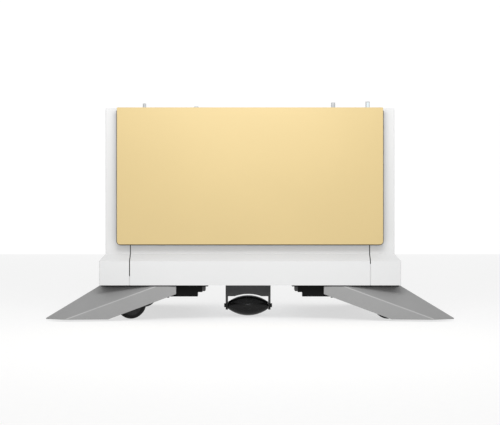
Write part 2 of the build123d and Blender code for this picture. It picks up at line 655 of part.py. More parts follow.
def caster_wheel(side, end):
    """A pair of wheels on one axle, each with a tyre band and a dished disc."""
    x, y = side * CASTER_X + WHEEL_TRAIL, end * CASTER_Y
    near = FORK_THICKNESS / 2 + FORK_SIDE_GAP
    far = near + WHEEL_WIDTH
    disc = WHEEL_RADIUS - 3 * WHEEL_EDGE_RADIUS
    with BuildPart() as wheel:
        for face in (-1, 1):
            rod("y", WHEEL_RADIUS, (y + face * near, y + face * far), (x, WHEEL_RADIUS))
        rims = wheel.edges().filter_by(GeomType.CIRCLE)
        fillet(rims, WHEEL_EDGE_RADIUS)
        for face in (-1, 1):
            outer = (y + face * (far - 2.5), y + face * (far + 1))
            rod("y", disc, outer, (x, WHEEL_RADIUS), mode=Mode.SUBTRACT)
            rod("y", 3 * AXLE_RADIUS, (y + face * near, y + face * far), (x, WHEEL_RADIUS))
        bore = AXLE_RADIUS + RUNNING_CLEARANCE
        rod("y", bore, (y - far - 1, y + far + 1), (x, WHEEL_RADIUS), mode=Mode.SUBTRACT)
    return wheel


def roller_bracket():
    """U bracket and axle of the centre roller, with an arched front web and round arm ends."""
    arm_in = ROLLER_LENGTH / 2 + BRACKET_GAP
    arm_out = arm_in + BRACKET_ARM
    front = ROLLER_Y - BRACKET_DEPTH / 2
    web_bottom = 2 * ROLLER_RADIUS - ARCH_CLEARANCE / 2
    arch_top = 2 * ROLLER_RADIUS + 1.5 * ARCH_CLEARANCE
    arch_half = ROLLER_LENGTH / 3
    with BuildPart() as bracket:
        x = (ROLLER_X - arm_out, ROLLER_X + arm_out)
        block(x, (front, front + BRACKET_DEPTH), (BOTTOM - BRACKET_WEB, BOTTOM))
        block(x, (front, front + BRACKET_WEB), (web_bottom, BOTTOM))
        with BuildSketch(Plane.XZ.offset(-front + 1)):
            with BuildLine():
                ends = (ROLLER_X - arch_half, web_bottom), (ROLLER_X + arch_half, web_bottom)
                ThreePointArc(ends[0], (ROLLER_X, arch_top), ends[1])
                Line(ends[1], ends[0])
            make_face()
        extrude(amount=-BRACKET_WEB - 2, mode=Mode.SUBTRACT)
        for side in (-1, 1):
            arm = sorted((ROLLER_X + side * arm_in, ROLLER_X + side * arm_out))
            with BuildSketch(Plane.YZ.offset(arm[0])):
                with Locations((ROLLER_Y, ROLLER_RADIUS)):
                    Circle(BRACKET_ARM_RADIUS)
                with Locations((ROLLER_Y, BOTTOM - BRACKET_WEB)):
                    Rectangle(BRACKET_DEPTH, BRACKET_WEB)
                make_hull()
            extrude(amount=BRACKET_ARM)
        roller_axle()
    return bracket


def roller_axle():
    """Axle of the centre roller with a nut at each end."""
    reach = ROLLER_LENGTH / 2 + BRACKET_GAP + BRACKET_ARM
    rod("x", ROLLER_AXLE_RADIUS, (ROLLER_X - reach, ROLLER_X + reach), (ROLLER_Y, ROLLER_RADIUS))
    for side in (-1, 1):
        nut = (ROLLER_X + side * reach, ROLLER_X + side * (reach + AXLE_NUT))
        rod("x", AXLE_NUT_RADIUS, nut, (ROLLER_Y, ROLLER_RADIUS))


def centre_roller():
    """Lens-shaped support roller with a parting groove at mid length."""
    half = ROLLER_LENGTH / 2
    with BuildPart() as roller:
        with BuildSketch(Plane.XZ.offset(-ROLLER_Y)):
            with BuildLine():
                left = (ROLLER_X - half, ROLLER_RADIUS)
                right = (ROLLER_X + half, ROLLER_RADIUS)
                left_rim = (left[0], ROLLER_RADIUS + ROLLER_END_RADIUS)
                right_rim = (right[0], ROLLER_RADIUS + ROLLER_END_RADIUS)
                Line(right, left)
                Line(left, left_rim)
                ThreePointArc(left_rim, (ROLLER_X, 2 * ROLLER_RADIUS), right_rim)
                Line(right_rim, right)
            make_face()
        axis = Axis((ROLLER_X, ROLLER_Y, ROLLER_RADIUS), (1, 0, 0))
        revolve(axis=axis)
        at = (ROLLER_Y, ROLLER_RADIUS)
        fillet(roller.edges().filter_by(GeomType.CIRCLE), 3)
        with BuildSketch(Plane.XZ.offset(-ROLLER_Y)):
            with Locations((ROLLER_X, 2 * ROLLER_RADIUS)):
                Rectangle(ROLLER_SPLIT, 2 * ROLLER_SPLIT)
        revolve(axis=axis, mode=Mode.SUBTRACT)
        bore = ROLLER_AXLE_RADIUS + RUNNING_CLEARANCE
        rod("x", bore, (left[0] - 1, right[0] + 1), at, mode=Mode.SUBTRACT)
    return roller


# --- Door ------------------------------------------------------------------
def front_door():
    """Folded front panel: a flat sheet with a rim on all sides, open at the back."""
    with BuildPart() as door:
        with BuildSketch(Plane.XZ.offset(-DOOR_BACK)):
            with Locations((0, (TOP + DOOR_BOTTOM) / 2)):
                Rectangle(2 * DOOR_HALF, TOP - DOOR_BOTTOM)
        extrude(amount=DOOR_THICKNESS)
        uprights = door.edges().filter_by(Axis.Y)
        fillet(uprights.group_by(Axis.Z)[0], DOOR_CORNER_RADIUS)
        fillet(door.edges().filter_by(Axis.Y).group_by(Axis.Z)[-1], DOOR_TOP_RADIUS)
        fillet(door.faces().sort_by(Axis.Y)[0].edges(), DOOR_EDGE_RADIUS)
        offset(amount=-DOOR_SHEET, openings=door.faces().sort_by(Axis.Y)[-1])
    return door


def door_liner():
    """Backing plate inside the door's rim, with its hinge arms and barrels."""
    inset = DOOR_SHEET + COVER_GAP
    with BuildPart() as liner:
        with BuildSketch(Plane.XZ.offset(-DOOR_BACK)):
            with Locations((0, (TOP + DOOR_BOTTOM) / 2)):
                Rectangle(2 * (DOOR_HALF - inset), TOP - DOOR_BOTTOM - 2 * inset)
        extrude(amount=DOOR_SHEET)
        fillet(liner.edges().filter_by(Axis.Y).group_by(Axis.Z)[0], DOOR_CORNER_RADIUS)
        fillet(liner.edges().filter_by(Axis.Y).group_by(Axis.Z)[-1], DOOR_TOP_RADIUS)
        for side in (-1, 1):
            for row in (-1, 1):
                level = (TOP + DOOR_BOTTOM) / 2 + row * (TOP - DOOR_BOTTOM) / 5
                rib = (side * DOOR_HALF / 10, side * DOOR_HALF * 0.8)
                rib_z = (level - LINER_RIB / 2, level + LINER_RIB / 2)
            block(rib, (DOOR_BACK, DOOR_BACK + 2 * DOOR_SHEET), rib_z)
            x = (side * HINGE_X - HINGE_BARREL / 2, side * HINGE_X + HINGE_BARREL / 2)
            z = (HINGE_Z - HINGE_BARREL_RADIUS, HINGE_Z + HINGE_BARREL_RADIUS)
            block(x, (DOOR_BACK, HINGE_Y), z)
            rod("x", HINGE_BARREL_RADIUS, x, (HINGE_Y, HINGE_Z))
            bore = HINGE_PIN_RADIUS + RUNNING_CLEARANCE
            rod("x", bore, (x[0] - 1, x[1] + 1), (HINGE_Y, HINGE_Z), mode=Mode.SUBTRACT)
    return liner


def hinge_lugs():
    """Two lugs, a root plate and a pin at each hinge, on the front of the top rail."""
    back = -HALF_DEPTH + TOP_RAIL_GAP
    z = (HINGE_Z - HINGE_BARREL_RADIUS - 2, HINGE_Z + HINGE_BARREL_RADIUS - 1)
    inner = HINGE_BARREL / 2 + HINGE_SIDE_GAP
    outer = inner + HINGE_LUG
    for side in (-1, 1):
        x = side * HINGE_X
        block((x - outer, x + outer), (back - HINGE_ROOT, back), z)
        for face in (-1, 1):
            lug = (x + face * inner, x + face * outer)
            block(lug, (HINGE_Y - HINGE_BARREL_RADIUS, back), z)
        rod("x", HINGE_PIN_RADIUS, (x - outer, x + outer), (HINGE_Y, HINGE_Z))


# --- Frame -----------------------------------------------------------------
def base_tray():
    """Floor of the cabinet, between the covers' lower edges."""
    x, y = PLINTH_X - SKIN - TRAY_GAP, PLINTH_Y - SKIN - COVER_GAP - TONGUE_THICKNESS - TRAY_GAP
    with BuildPart() as tray:
        block((-x, x), (-y, y), (BOTTOM, DECK))
    return tray


def side_plate(side):
    """Side plate of the frame with the carriage window and the feed shaft's bore."""
    y_front, y_rear = -HALF_DEPTH + PLATE_FRONT_GAP, HALF_DEPTH - PLATE_REAR_GAP
    x = (side * PLATE_X, side * (PLATE_X + PLATE))
    cut = (side * (PLATE_X - 1), side * (PLATE_X + PLATE + 1))
    with BuildPart() as plate:
        block(x, (y_front, y_rear), (DECK, TOP - STOP_RAIL_DEPTH - TRAY))
        foot = (side * PLATE_X, side * (PLATE_X + PLATE_FOOT))
        block(foot, (y_front, y_rear), (DECK, DECK + PLATE))
        window_y = (CARRIAGE_Y[0] - WINDOW_MARGIN, ENGINE_BEAM_Y[1])
        window_z = (PLATEN_TOP - PLATEN_THICKNESS, PLATEN_TOP + ENGINE_BEAM_LIFT[1])
        block(cut, window_y, window_z, mode=Mode.SUBTRACT)
        bore = FEED_SHAFT + RUNNING_CLEARANCE
        rod("x", bore, cut, (FEED_Y, PLATEN_TOP - FEED_RADIUS), mode=Mode.SUBTRACT)
        corners = plate.edges().filter_by(Axis.X).group_by(Axis.Z)[-1]
        fillet(corners, PLATE_FRONT_GAP)
    return plate


def front_top_rail():
    """Rail across the top of the door opening, with the door's hinge lugs and pins."""
    front = -HALF_DEPTH + TOP_RAIL_GAP
    top = TOP - STOP_RAIL_DEPTH
    with BuildPart() as rail:
        block((-PLATE_X, PLATE_X), (front, front + TOP_RAIL), (top - TOP_RAIL, top))
        inside = (top - TOP_RAIL + BEAM_WALL, top - BEAM_WALL)
        hollow = (front + BEAM_WALL, front + TOP_RAIL - BEAM_WALL)
        block((-PLATE_X - 1, PLATE_X + 1), hollow, inside, mode=Mode.SUBTRACT)
        hinge_lugs()
    return rail


# --- Print engine ----------------------------------------------------------
def platen():
    """Flat printing bed, stiffened by a flange along each edge and ribs below."""
    with BuildPart() as bed:
        block((-PLATE_X, PLATE_X), PLATEN_Y, (PLATEN_BOTTOM, PLATEN_TOP))
        low = PLATEN_TOP - PLATEN_RIB
        for edge in (PLATEN_Y[0], PLATEN_Y[1] - PLATEN_THICKNESS):
            block((-PLATE_X, PLATE_X), (edge, edge + PLATEN_THICKNESS), (low, PLATEN_BOTTOM))
    return bed


def carriage_beam():
    """Box beam behind the carriage, with the guide rod in its brackets and the idler's pin."""
    z = (PLATEN_TOP + ENGINE_BEAM_LIFT[0], PLATEN_TOP + ENGINE_BEAM_LIFT[1])
    with BuildPart() as beam:
        block((-ENGINE_END, ENGINE_END), ENGINE_BEAM_Y, z)
        y = (ENGINE_BEAM_Y[0] + BEAM_WALL, ENGINE_BEAM_Y[1] - BEAM_WALL)
        hollow = (z[0] + BEAM_WALL, z[1] - BEAM_WALL)
        block((-ENGINE_END - 1, ENGINE_END + 1), y, hollow, mode=Mode.SUBTRACT)
        for side in (-1, 1):
            x = (side * (ENGINE_END - ROD_BRACKET), side * ENGINE_END)
            reach = 2 * ROD_RADIUS
            top = ROD_AT[1] + reach
            block(x, (ROD_Y - reach, ENGINE_BEAM_Y[0]), (ROD_AT[1] - reach, top))
        rod("x", ROD_RADIUS, (-ENGINE_END, ENGINE_END), ROD_AT)
        pin = (BELT_Y - BELT_WIDTH, ENGINE_BEAM_Y[0])
        rod("y", PULLEY_SHAFT, pin, (-PULLEY_PLACE, PULLEY_AT))
        hole = (ENGINE_BEAM_Y[0] - 1, ENGINE_BEAM_Y[1] + 1)
        rod("y", 2 * PULLEY_SHAFT, hole, (PULLEY_PLACE, PULLEY_AT), mode=Mode.SUBTRACT)
    return beam


def carriage():
    """Print carriage with four head pockets, a bushing on the rod and a belt clamp."""
    low = PLATEN_TOP + CARRIAGE_BOTTOM
    x = (PARK_X - CARRIAGE_WIDTH / 2, PARK_X + CARRIAGE_WIDTH / 2)
    reach = 2 * ROD_RADIUS
    with BuildPart() as body:
        block(x, CARRIAGE_Y, (low, low + CARRIAGE_HEIGHT))
        fillet(body.edges().filter_by(Axis.X).group_by(Axis.Z)[-1].sort_by(Axis.Y)[0], CARRIAGE_TOP_RADIUS)
        fillet(body.edges().filter_by(Axis.Z).group_by(Axis.Y)[0], CARRIAGE_CORNER_RADIUS)
        bushing_z = (ROD_AT[1] - reach, ROD_AT[1] + reach)
        block(x, (CARRIAGE_Y[1], ROD_Y + reach), bushing_z)
        clamp = (PARK_X - reach, PARK_X + reach)
        belt_bottom = PULLEY_AT - PULLEY_RADIUS - BELT_THICKNESS
        clamp_y = (BELT_Y - BELT_WIDTH / 2, BELT_Y + BELT_WIDTH / 2)
        block(clamp, clamp_y, (bushing_z[1], belt_bottom - COVER_GAP))
        bore = ROD_RADIUS + RUNNING_CLEARANCE
        rod("x", bore, (x[0] - 1, x[1] + 1), ROD_AT, mode=Mode.SUBTRACT)
        for index in range(HEAD_COUNT):
            middle = head_x(index)
            half = HEAD_WIDTH / 2 + HEAD_GAP
            pocket_y = (head_y()[0] - HEAD_GAP, head_y()[1] + HEAD_GAP)
            block(
                (middle - half, middle + half),
                pocket_y,
                (low - 1, low + CARRIAGE_HEIGHT + 1),
                mode=Mode.SUBTRACT,
            )
    return body


def head_x(index):
    """Middle of a print head, from the left of the carriage."""
    pitch = CARRIAGE_WIDTH / (HEAD_COUNT + 0.2)
    return PARK_X + (index - (HEAD_COUNT - 1) / 2) * pitch


def head_y():
    """Front and back of the print heads."""
    middle = sum(CARRIAGE_Y) / 2 + HEAD_GAP * 10
    return middle - HEAD_LENGTH / 2, middle + HEAD_LENGTH / 2


def print_heads():
    """The four print heads in their carriage pockets."""
    low = PLATEN_TOP + CARRIAGE_BOTTOM / 2
    top = PLATEN_TOP + CARRIAGE_BOTTOM + CARRIAGE_HEIGHT
    with BuildPart() as heads:
        for index in range(HEAD_COUNT):
            middle = head_x(index)
            x = (middle - HEAD_WIDTH / 2, middle + HEAD_WIDTH / 2)
            block(x, head_y(), (low, top - CARRIAGE_BOTTOM))
    return heads


def carriage_belt():
    """Toothed belt in one closed loop around the two pulleys."""
    with BuildPart() as belt:
        with BuildSketch(Plane.XZ.offset(-BELT_Y)):
            with Locations((0, PULLEY_AT)):
                inner = PULLEY_RADIUS + RUNNING_CLEARANCE
                outer = inner + BELT_THICKNESS
                SlotCenterToCenter(2 * PULLEY_PLACE, 2 * outer)
                SlotCenterToCenter(2 * PULLEY_PLACE, 2 * inner, mode=Mode.SUBTRACT)
        extrude(amount=BELT_WIDTH / 2, both=True)
    return belt


def belt_pulley(side, shaft_end):
    """Flanged belt pulley; the driven one carries the motor's shaft."""
    at = (side * PULLEY_PLACE, PULLEY_AT)
    half = BELT_WIDTH / 2 + RUNNING_CLEARANCE
    with BuildPart() as pulley:
        rod("y", PULLEY_RADIUS, (BELT_Y - half, BELT_Y + half), at)
        for face in (-1, 1):
            rod("y", PULLEY_RADIUS + PULLEY_RIM, (BELT_Y + face * half, BELT_Y + face * (half + 1)), at)
        if side > 0:
            rod("y", PULLEY_SHAFT, (BELT_Y, shaft_end), at)
        else:
            bore = PULLEY_SHAFT + RUNNING_CLEARANCE
            rod("y", bore, (BELT_Y - 2 * half, BELT_Y + 2 * half), at, mode=Mode.SUBTRACT)
    return pulley


def motor(axis, span, at, shaft_radius):
    """A round motor with a bore for the shaft that it drives."""
    middle = span[0] + (span[1] - span[0]) / 3
    rod(axis, MOTOR_RADIUS, span, at)
    rod(axis, MOTOR_RADIUS - MOTOR_STEP, (span[1], span[1] + MOTOR_CAP), at)
    rod(axis, shaft_radius + RUNNING_CLEARANCE, (span[0] - 1, middle), at, mode=Mode.SUBTRACT)


def drive_motors():
    """The carriage motor behind the beam and the feed motor beside the right side plate."""
    with BuildPart() as motors:
        span = (ENGINE_BEAM_Y[1], ENGINE_BEAM_Y[1] + MOTOR_LENGTH)
        motor("y", span, (PULLEY_PLACE, PULLEY_AT), PULLEY_SHAFT)
        span = (PLATE_X + PLATE, PLATE_X + PLATE + MOTOR_LENGTH)
        motor("x", span, (FEED_Y, PLATEN_TOP - FEED_RADIUS), FEED_SHAFT)
    return motors


def service_station():
    """Parking station with one rubber cap under each print head."""
    x = (PLATE_X + PLATE, ENGINE_END)
    top = PLATEN_TOP - CARRIAGE_BOTTOM / 2
    with BuildPart() as station:
        block(x, (CARRIAGE_Y[0] + 2, CARRIAGE_Y[1] - 2), (top - STATION_HEIGHT, top))
        for index in range(HEAD_COUNT):
            middle = head_x(index)
            cap = (middle - HEAD_WIDTH / 2, middle + HEAD_WIDTH / 2)
            block(cap, head_y(), (top, top + CAP_HEIGHT))
    return station


def feed_roller():
    """Media feed roller on its shaft, through both side plates."""
    at = (FEED_Y, PLATEN_TOP - FEED_RADIUS)
    half = MEDIA_WIDTH / 2 + 2 * FEED_RADIUS / 3
    with BuildPart() as roller:
        rod("x", FEED_RADIUS, (-half, half), at)
        rod("x", FEED_SHAFT, (-PLATE_X - PLATE, PLATE_X + PLATE + 2 * FEED_SHAFT), at)
    return roller


def pinch_rollers():
    """Free rollers that press the media on the feed roller, on one shaft."""
    half = PINCH_PITCH * PINCH_COUNT / 2 + PINCH_ARM
    with BuildPart() as rollers:
        rod("x", PINCH_SHAFT, (-half, half), (FEED_Y, PINCH_Z))
        for index in range(PINCH_COUNT):
            middle = (index - (PINCH_COUNT - 1) / 2) * PINCH_PITCH
            span = (middle - PINCH_WIDTH / 2, middle + PINCH_WIDTH / 2)
            rod("x", PINCH_RADIUS, span, (FEED_Y, PINCH_Z))
    return rollers


def pinch_bar():
    """Bar between the side plates whose arms hold the pinch rollers' shaft."""
    back = FEED_Y - PINCH_RADIUS - PINCH_BAR / 2
    front = back - PINCH_BAR
    low = PINCH_Z - PINCH_BAR / 2
    with BuildPart() as bar:
        block((-PLATE_X, PLATE_X), (front, back), (low + PINCH_ARM, low + PINCH_ARM + PINCH_BAR))
        for index in range(PINCH_COUNT + 1):
            middle = (index - PINCH_COUNT / 2) * PINCH_PITCH
            x = (middle - PINCH_ARM / 2, middle + PINCH_ARM / 2)
            block(x, (front, FEED_Y + PINCH_RADIUS - 1), (PINCH_Z - PINCH_RADIUS + 1, low + PINCH_BAR))
        bore = PINCH_SHAFT + RUNNING_CLEARANCE
        reach = MEDIA_WIDTH / 2 + 2 * PINCH_ARM
        rod("x", bore, (-reach, reach), (FEED_Y, PINCH_Z), mode=Mode.SUBTRACT)
    return bar


def exit_guide():
    """Curved sheet that leads the print from the platen up to the exit slot."""
    start, rise = PLATEN_Y[1] + GUIDE_GAP, PLATEN_BOTTOM
    upright = SLOT_Y[1] - GUIDE_SHEET
    bend = (SLOT_Y[1] - PLATEN_Y[1]) / 2
    with BuildPart() as guide:
        with BuildSketch(Plane.YZ):
            with BuildLine():
                Line((start, rise), (upright - bend, rise))
                TangentArc((upright - bend, rise), (upright, rise + bend), tangent=(1, 0))
                Line((upright, rise + bend), (upright, TOP - SKIN))
                offset(amount=GUIDE_SHEET, side=Side.RIGHT)
            make_face()
        extrude(amount=PLATE_X, both=True)
    return guide


# --- Media rolls -----------------------------------------------------------
def media_roll(level):
    """A roll of media on its core."""
    half = MEDIA_WIDTH / 2
    with BuildPart() as roll:
        rod("x", ROLL_RADIUS, (-half, half), (ROLL_Y, level))
        rod("x", ROLL_CORE_RADIUS, (-half - 1, half + 1), (ROLL_Y, level), mode=Mode.SUBTRACT)
    return roll


def spindle(level):
    """Spindle with a hub in each end of the roll's core and a flange beside it."""
    at, half = (ROLL_Y, level), MEDIA_WIDTH / 2
    with BuildPart() as shaft:
        end = PLATE_X - BEARING_END_GAP
        rod("x", SPINDLE_RADIUS, (-end, end), at)
        for side in (-1, 1):
            hub = (side * (half - 4 * SPINDLE_FLANGE), side * half)
            rod("x", ROLL_CORE_RADIUS - RUNNING_CLEARANCE, hub, at)
            flange = (side * half, side * (half + SPINDLE_FLANGE))
            rod("x", SPINDLE_FLANGE_RADIUS, flange, at)
    return shaft


def spindle_bearings():
    """Open-topped cradles on the side plates for both spindles."""
    bore = SPINDLE_RADIUS + RUNNING_CLEARANCE
    with BuildPart() as cradles:
        for level in ROLL_LEVELS.values():
            for side in (-1, 1):
                x = (side * (PLATE_X - BEARING_WIDTH), side * PLATE_X)
                y = (ROLL_Y - BEARING_SIZE / 2, ROLL_Y + BEARING_SIZE / 2)
                block(x, y, (level - BEARING_SIZE / 2, level + BEARING_SIZE / 4))
                cut = (x[0] - side, x[1])
                rod("x", bore, cut, (ROLL_Y, level), mode=Mode.SUBTRACT)
                slot = (ROLL_Y - bore, ROLL_Y + bore)
                block(cut, slot, (level, level + BEARING_SIZE), mode=Mode.SUBTRACT)
    return cradles


# --- Ink -------------------------------------------------------------------
def ink_rack():
    """Open-fronted rack with one bay for each cartridge, on its closed pump housing."""
    width = len(INK_NAMES) * INK_PITCH + INK_WALL
    y = (INK_FRONT, INK_FRONT + INK_DEPTH + INK_GAP + INK_WALL)
    top = INK_FLOOR + INK_HEIGHT + 2 * INK_GAP + 2 * INK_WALL
    with BuildPart() as rack:
        block((INK_X, INK_X + width), y, (DECK, top))
        pump_x = (INK_X + INK_WALL, INK_X + width - INK_WALL)
        pump_y = (y[0] + INK_WALL, y[1] - INK_WALL)
        block(pump_x, pump_y, (DECK + INK_WALL, INK_FLOOR), mode=Mode.SUBTRACT)
        for index in range(len(INK_NAMES)):
            x = INK_X + INK_WALL + index * INK_PITCH
            bay = (x, x + INK_WIDTH + 2 * INK_GAP)
            bay_z = (INK_FLOOR + INK_WALL, top - INK_WALL)
            block(bay, (y[0] - 1, y[1] - INK_WALL), bay_z, mode=Mode.SUBTRACT)
    return rack


def ink_cartridge(index):
    """Ink cartridge with a finger recess under its front edge."""
    x = INK_X + INK_WALL + INK_GAP + index * INK_PITCH
    low = INK_FLOOR + INK_WALL + INK_GAP
    with BuildPart() as cartridge:
        block((x, x + INK_WIDTH), (INK_FRONT, INK_FRONT + INK_DEPTH), (low, low + INK_HEIGHT))
        block((x, x + INK_WIDTH), (INK_FRONT - INK_GRIP, INK_FRONT), (low + INK_HEIGHT / 3, low + INK_HEIGHT))
        fillet(cartridge.edges().filter_by(Axis.X).group_by(Axis.Y)[0], 3)
    return cartridge


# --- Top pieces ------------------------------------------------------------
def stop_rail():
    """Rail in the top cover with a T-groove for the two edge stops."""
    top = TOP + STOP_RAIL_RISE
    half = STOP_RAIL_WIDTH / 2
    with BuildPart() as rail:
        x = (-STOP_RAIL_HALF, STOP_RAIL_HALF)
        block(x, (STOP_RAIL_Y - half, STOP_RAIL_Y + half), (TOP - STOP_RAIL_DEPTH, top))
        cut = (-STOP_RAIL_HALF - 1, STOP_RAIL_HALF + 1)
        narrow = (STOP_RAIL_Y - STOP_GROOVE_NECK / 2, STOP_RAIL_Y + STOP_GROOVE_NECK / 2)
        wide = (STOP_RAIL_Y - STOP_GROOVE_WIDTH / 2, STOP_RAIL_Y + STOP_GROOVE_WIDTH / 2)
        block(cut, narrow, (top - STOP_GROOVE_LIP - 1, top + 1), mode=Mode.SUBTRACT)
        block(cut, wide, (top - STOP_GROOVE_NECK, top - STOP_GROOVE_LIP), mode=Mode.SUBTRACT)
    return rail


def edge_stop(place, radius, height):
    """Round media stop on a pad, with a foot in the rail's groove."""
    top = TOP + STOP_RAIL_RISE
    gap = STOP_SLIDE_GAP
    with BuildPart() as stop:
        x = (place - radius - STOP_PAD, place + radius + STOP_PAD)
        foot = STOP_GROOVE_WIDTH / 2 - gap
        foot_z = (top - STOP_GROOVE_NECK + gap, top - STOP_GROOVE_LIP - gap)
        block(x, (STOP_RAIL_Y - foot, STOP_RAIL_Y + foot), foot_z)
        stem = STOP_GROOVE_NECK / 2 - gap
        block(x, (STOP_RAIL_Y - stem, STOP_RAIL_Y + stem), (foot_z[1], top + gap))
        pad = (top + gap, top + gap + STOP_PAD)
        block(x, (STOP_RAIL_Y - radius - STOP_PAD, STOP_RAIL_Y + radius + STOP_PAD), pad)
        rod("z", radius, (pad[1], TOP + height), (place, STOP_RAIL_Y))
        fillet(stop.faces().sort_by(Axis.Z)[-1].edges(), 1.5)
    return stop


def button_housing():
    """Collar that guides the button on the top cover, and the switch under the cover."""
    inner = BUTTON_RADIUS + BUTTON_GAP / 2
    with BuildPart() as housing:
        rod("z", BUTTON_HOUSING_RADIUS, (TOP, TOP + BUTTON_HOUSING_RISE), BUTTON_AT)
        rod("z", inner, (TOP - 1, TOP + BUTTON_HOUSING_RISE + 1), BUTTON_AT, mode=Mode.SUBTRACT)
        fillet(housing.faces().sort_by(Axis.Z)[-1].edges().sort_by(SortBy.RADIUS)[-1], 1)
        button_switch()
    return housing


def button_switch():
    """Switch block on a bridge under the top cover, below the button."""
    low = TOP - SKIN - 2 * BUTTON_DEPTH
    inner = BUTTON_HOUSING_RADIUS + SKIN
    outer = inner + SKIN
    y = (BUTTON_AT[1] - SWITCH_BLOCK[1] / 2, BUTTON_AT[1] + SWITCH_BLOCK[1] / 2)
    for side in (-1, 1):
        block((BUTTON_X + side * inner, BUTTON_X + side * outer), y, (low, TOP - SKIN))
    block((BUTTON_X - outer, BUTTON_X + outer), y, (low, low + SKIN))
    x = (BUTTON_X - SWITCH_BLOCK[0] / 2, BUTTON_X + SWITCH_BLOCK[0] / 2)
    block(x, y, (low + SKIN, low + SKIN + BUTTON_DEPTH / 2))


def release_button():
    """Round push button with a domed top and a skirt that keeps it in its hole."""
    with BuildPart() as button:
        rod("z", BUTTON_RADIUS, (TOP - SKIN - BUTTON_SKIRT, TOP + BUTTON_RISE), BUTTON_AT)
        fillet(button.faces().sort_by(Axis.Z)[-1].edges(), BUTTON_DOME_RADIUS)
        skirt = (TOP - SKIN - BUTTON_SKIRT, TOP - SKIN - COVER_GAP)
        rod("z", BUTTON_HOUSING_RADIUS, skirt, BUTTON_AT)
    return button


def status_beacon():
    """Light bar on the right side cover, with a stem through it."""
    x = (BEACON_AT[0] - BEACON_SIZE[0] / 2, BEACON_AT[0] + BEACON_SIZE[0] / 2)
    y = (BEACON_AT[1] - BEACON_SIZE[1] / 2, BEACON_AT[1] + BEACON_SIZE[1] / 2)
    with BuildPart() as beacon:
        block(x, y, (TOP, TOP + BEACON_SIZE[2]))
        fillet(beacon.edges().filter_by(Axis.Z), 2)
        rod("z", BEACON_STEM_RADIUS - RUNNING_CLEARANCE, (TOP - 2 * SKIN, TOP), BEACON_AT)
    return beacon


# --- Electrical pieces -----------------------------------------------------
def control_unit():
    """Electronics cover on the left side plate, open to the plate and to its cables below."""
    x = (-PLATE_X - PLATE, -HALF_WIDTH + SKIN + ENGINE_SIDE_GAP)
    z = (DECK + UNIT_LIFT, PLATEN_TOP - UNIT_DROP)
    cables_x = (sum(x) / 2 - CABLE_OPENING[0] / 2, sum(x) / 2 + CABLE_OPENING[0] / 2)
    cables_y = (-CABLE_OPENING[1] / 2, CABLE_OPENING[1] / 2)
    with BuildPart() as unit:
        block(x, (-UNIT_DEPTH / 2, UNIT_DEPTH / 2), z)
        fillet(unit.edges().filter_by(Axis.X), UNIT_EDGE_RADIUS)
        offset(amount=-SKIN, openings=unit.faces().sort_by(Axis.X)[-1])
        block(cables_x, cables_y, (z[0] - 1, z[0] + SKIN + 1), mode=Mode.SUBTRACT)
    return unit


def switch_frame():
    """Frame of the mains switch with the rocker's pivot, beside the inlet."""
    y = (PLINTH_Y - SWITCH_BODY, PLINTH_Y + PANEL_RISE)
    x = (SWITCH_X - SWITCH_SIZE[0] / 2, SWITCH_X + SWITCH_SIZE[0] / 2)
    z = (INLET_Z - SWITCH_SIZE[1] / 2, INLET_Z + SWITCH_SIZE[1] / 2)
    block(x, y, z)
    half_x = ROCKER_SIZE[0] / 2 + COVER_GAP
    half_z = ROCKER_RADIUS + COVER_GAP
    cavity = (SWITCH_X - half_x, SWITCH_X + half_x)
    block(cavity, (y[0] + SKIN, y[1] + 1), (INLET_Z - half_z, INLET_Z + half_z), mode=Mode.SUBTRACT)
    rod("x", ROCKER_PIVOT, cavity, (ROCKER_Y, INLET_Z))


def mains_panel():
    """Mains inlet with three blades, and the frame of the mains switch beside it."""
    y = (PLINTH_Y - INLET_BODY, PLINTH_Y + PANEL_RISE)
    back = PLINTH_Y - INLET_SOCKET_DEPTH
    with BuildPart() as inlet:
        x = (INLET_X - INLET_SIZE[0] / 2, INLET_X + INLET_SIZE[0] / 2)
        z = (INLET_Z - INLET_SIZE[1] / 2, INLET_Z + INLET_SIZE[1] / 2)
        block(x, y, z)
        socket_x = (INLET_X - INLET_SOCKET[0] / 2, INLET_X + INLET_SOCKET[0] / 2)
        socket_z = (INLET_Z - INLET_SOCKET[1] / 2, INLET_Z + INLET_SOCKET[1] / 2)
        block(socket_x, (back, y[1] + 1), socket_z, mode=Mode.SUBTRACT)
        width, length, height = INLET_BLADE
        for offset_x, offset_z in ((-7, -2), (0, 2), (7, -2)):
            blade_x = (INLET_X + offset_x - width / 2, INLET_X + offset_x + width / 2)
            blade_z = (INLET_Z + offset_z - height / 2, INLET_Z + offset_z + height / 2)
            block(blade_x, (back, back + length), blade_z)
        switch_frame()
    return inlet


def power_rocker():
    """Rocker of the mains switch, tilted to its off position."""
    half = ROCKER_SIZE[1] / 2
    with BuildPart() as rocker:
        with BuildSketch(Plane.YZ.offset(SWITCH_X - ROCKER_SIZE[0] / 2)):
            with Locations(Location((ROCKER_Y, INLET_Z, 0), (0, 0, SWITCH_ANGLE))):
                Polygon((8, -half), (5.5, 0), (8, half), (-3.5, half), (-3.5, -half), align=None)
        extrude(amount=ROCKER_SIZE[0])
        bore = ROCKER_PIVOT + RUNNING_CLEARANCE
        cut = (SWITCH_X - ROCKER_SIZE[0], SWITCH_X + ROCKER_SIZE[0])
        rod("x", bore, cut, (ROCKER_Y, INLET_Z), mode=Mode.SUBTRACT)
    return rocker


# --- Write every piece -----------------------------------------------------
os.makedirs("parts", exist_ok=True)

save(side_cover(-1, TONGUE_LEFT), "side_cover_left")
save(side_cover(1, TONGUE_RIGHT), "side_cover_right")
save(front_cover(), "front_cover")
save(rear_cover(), "rear_cover")
save(top_cover(), "top_cover")

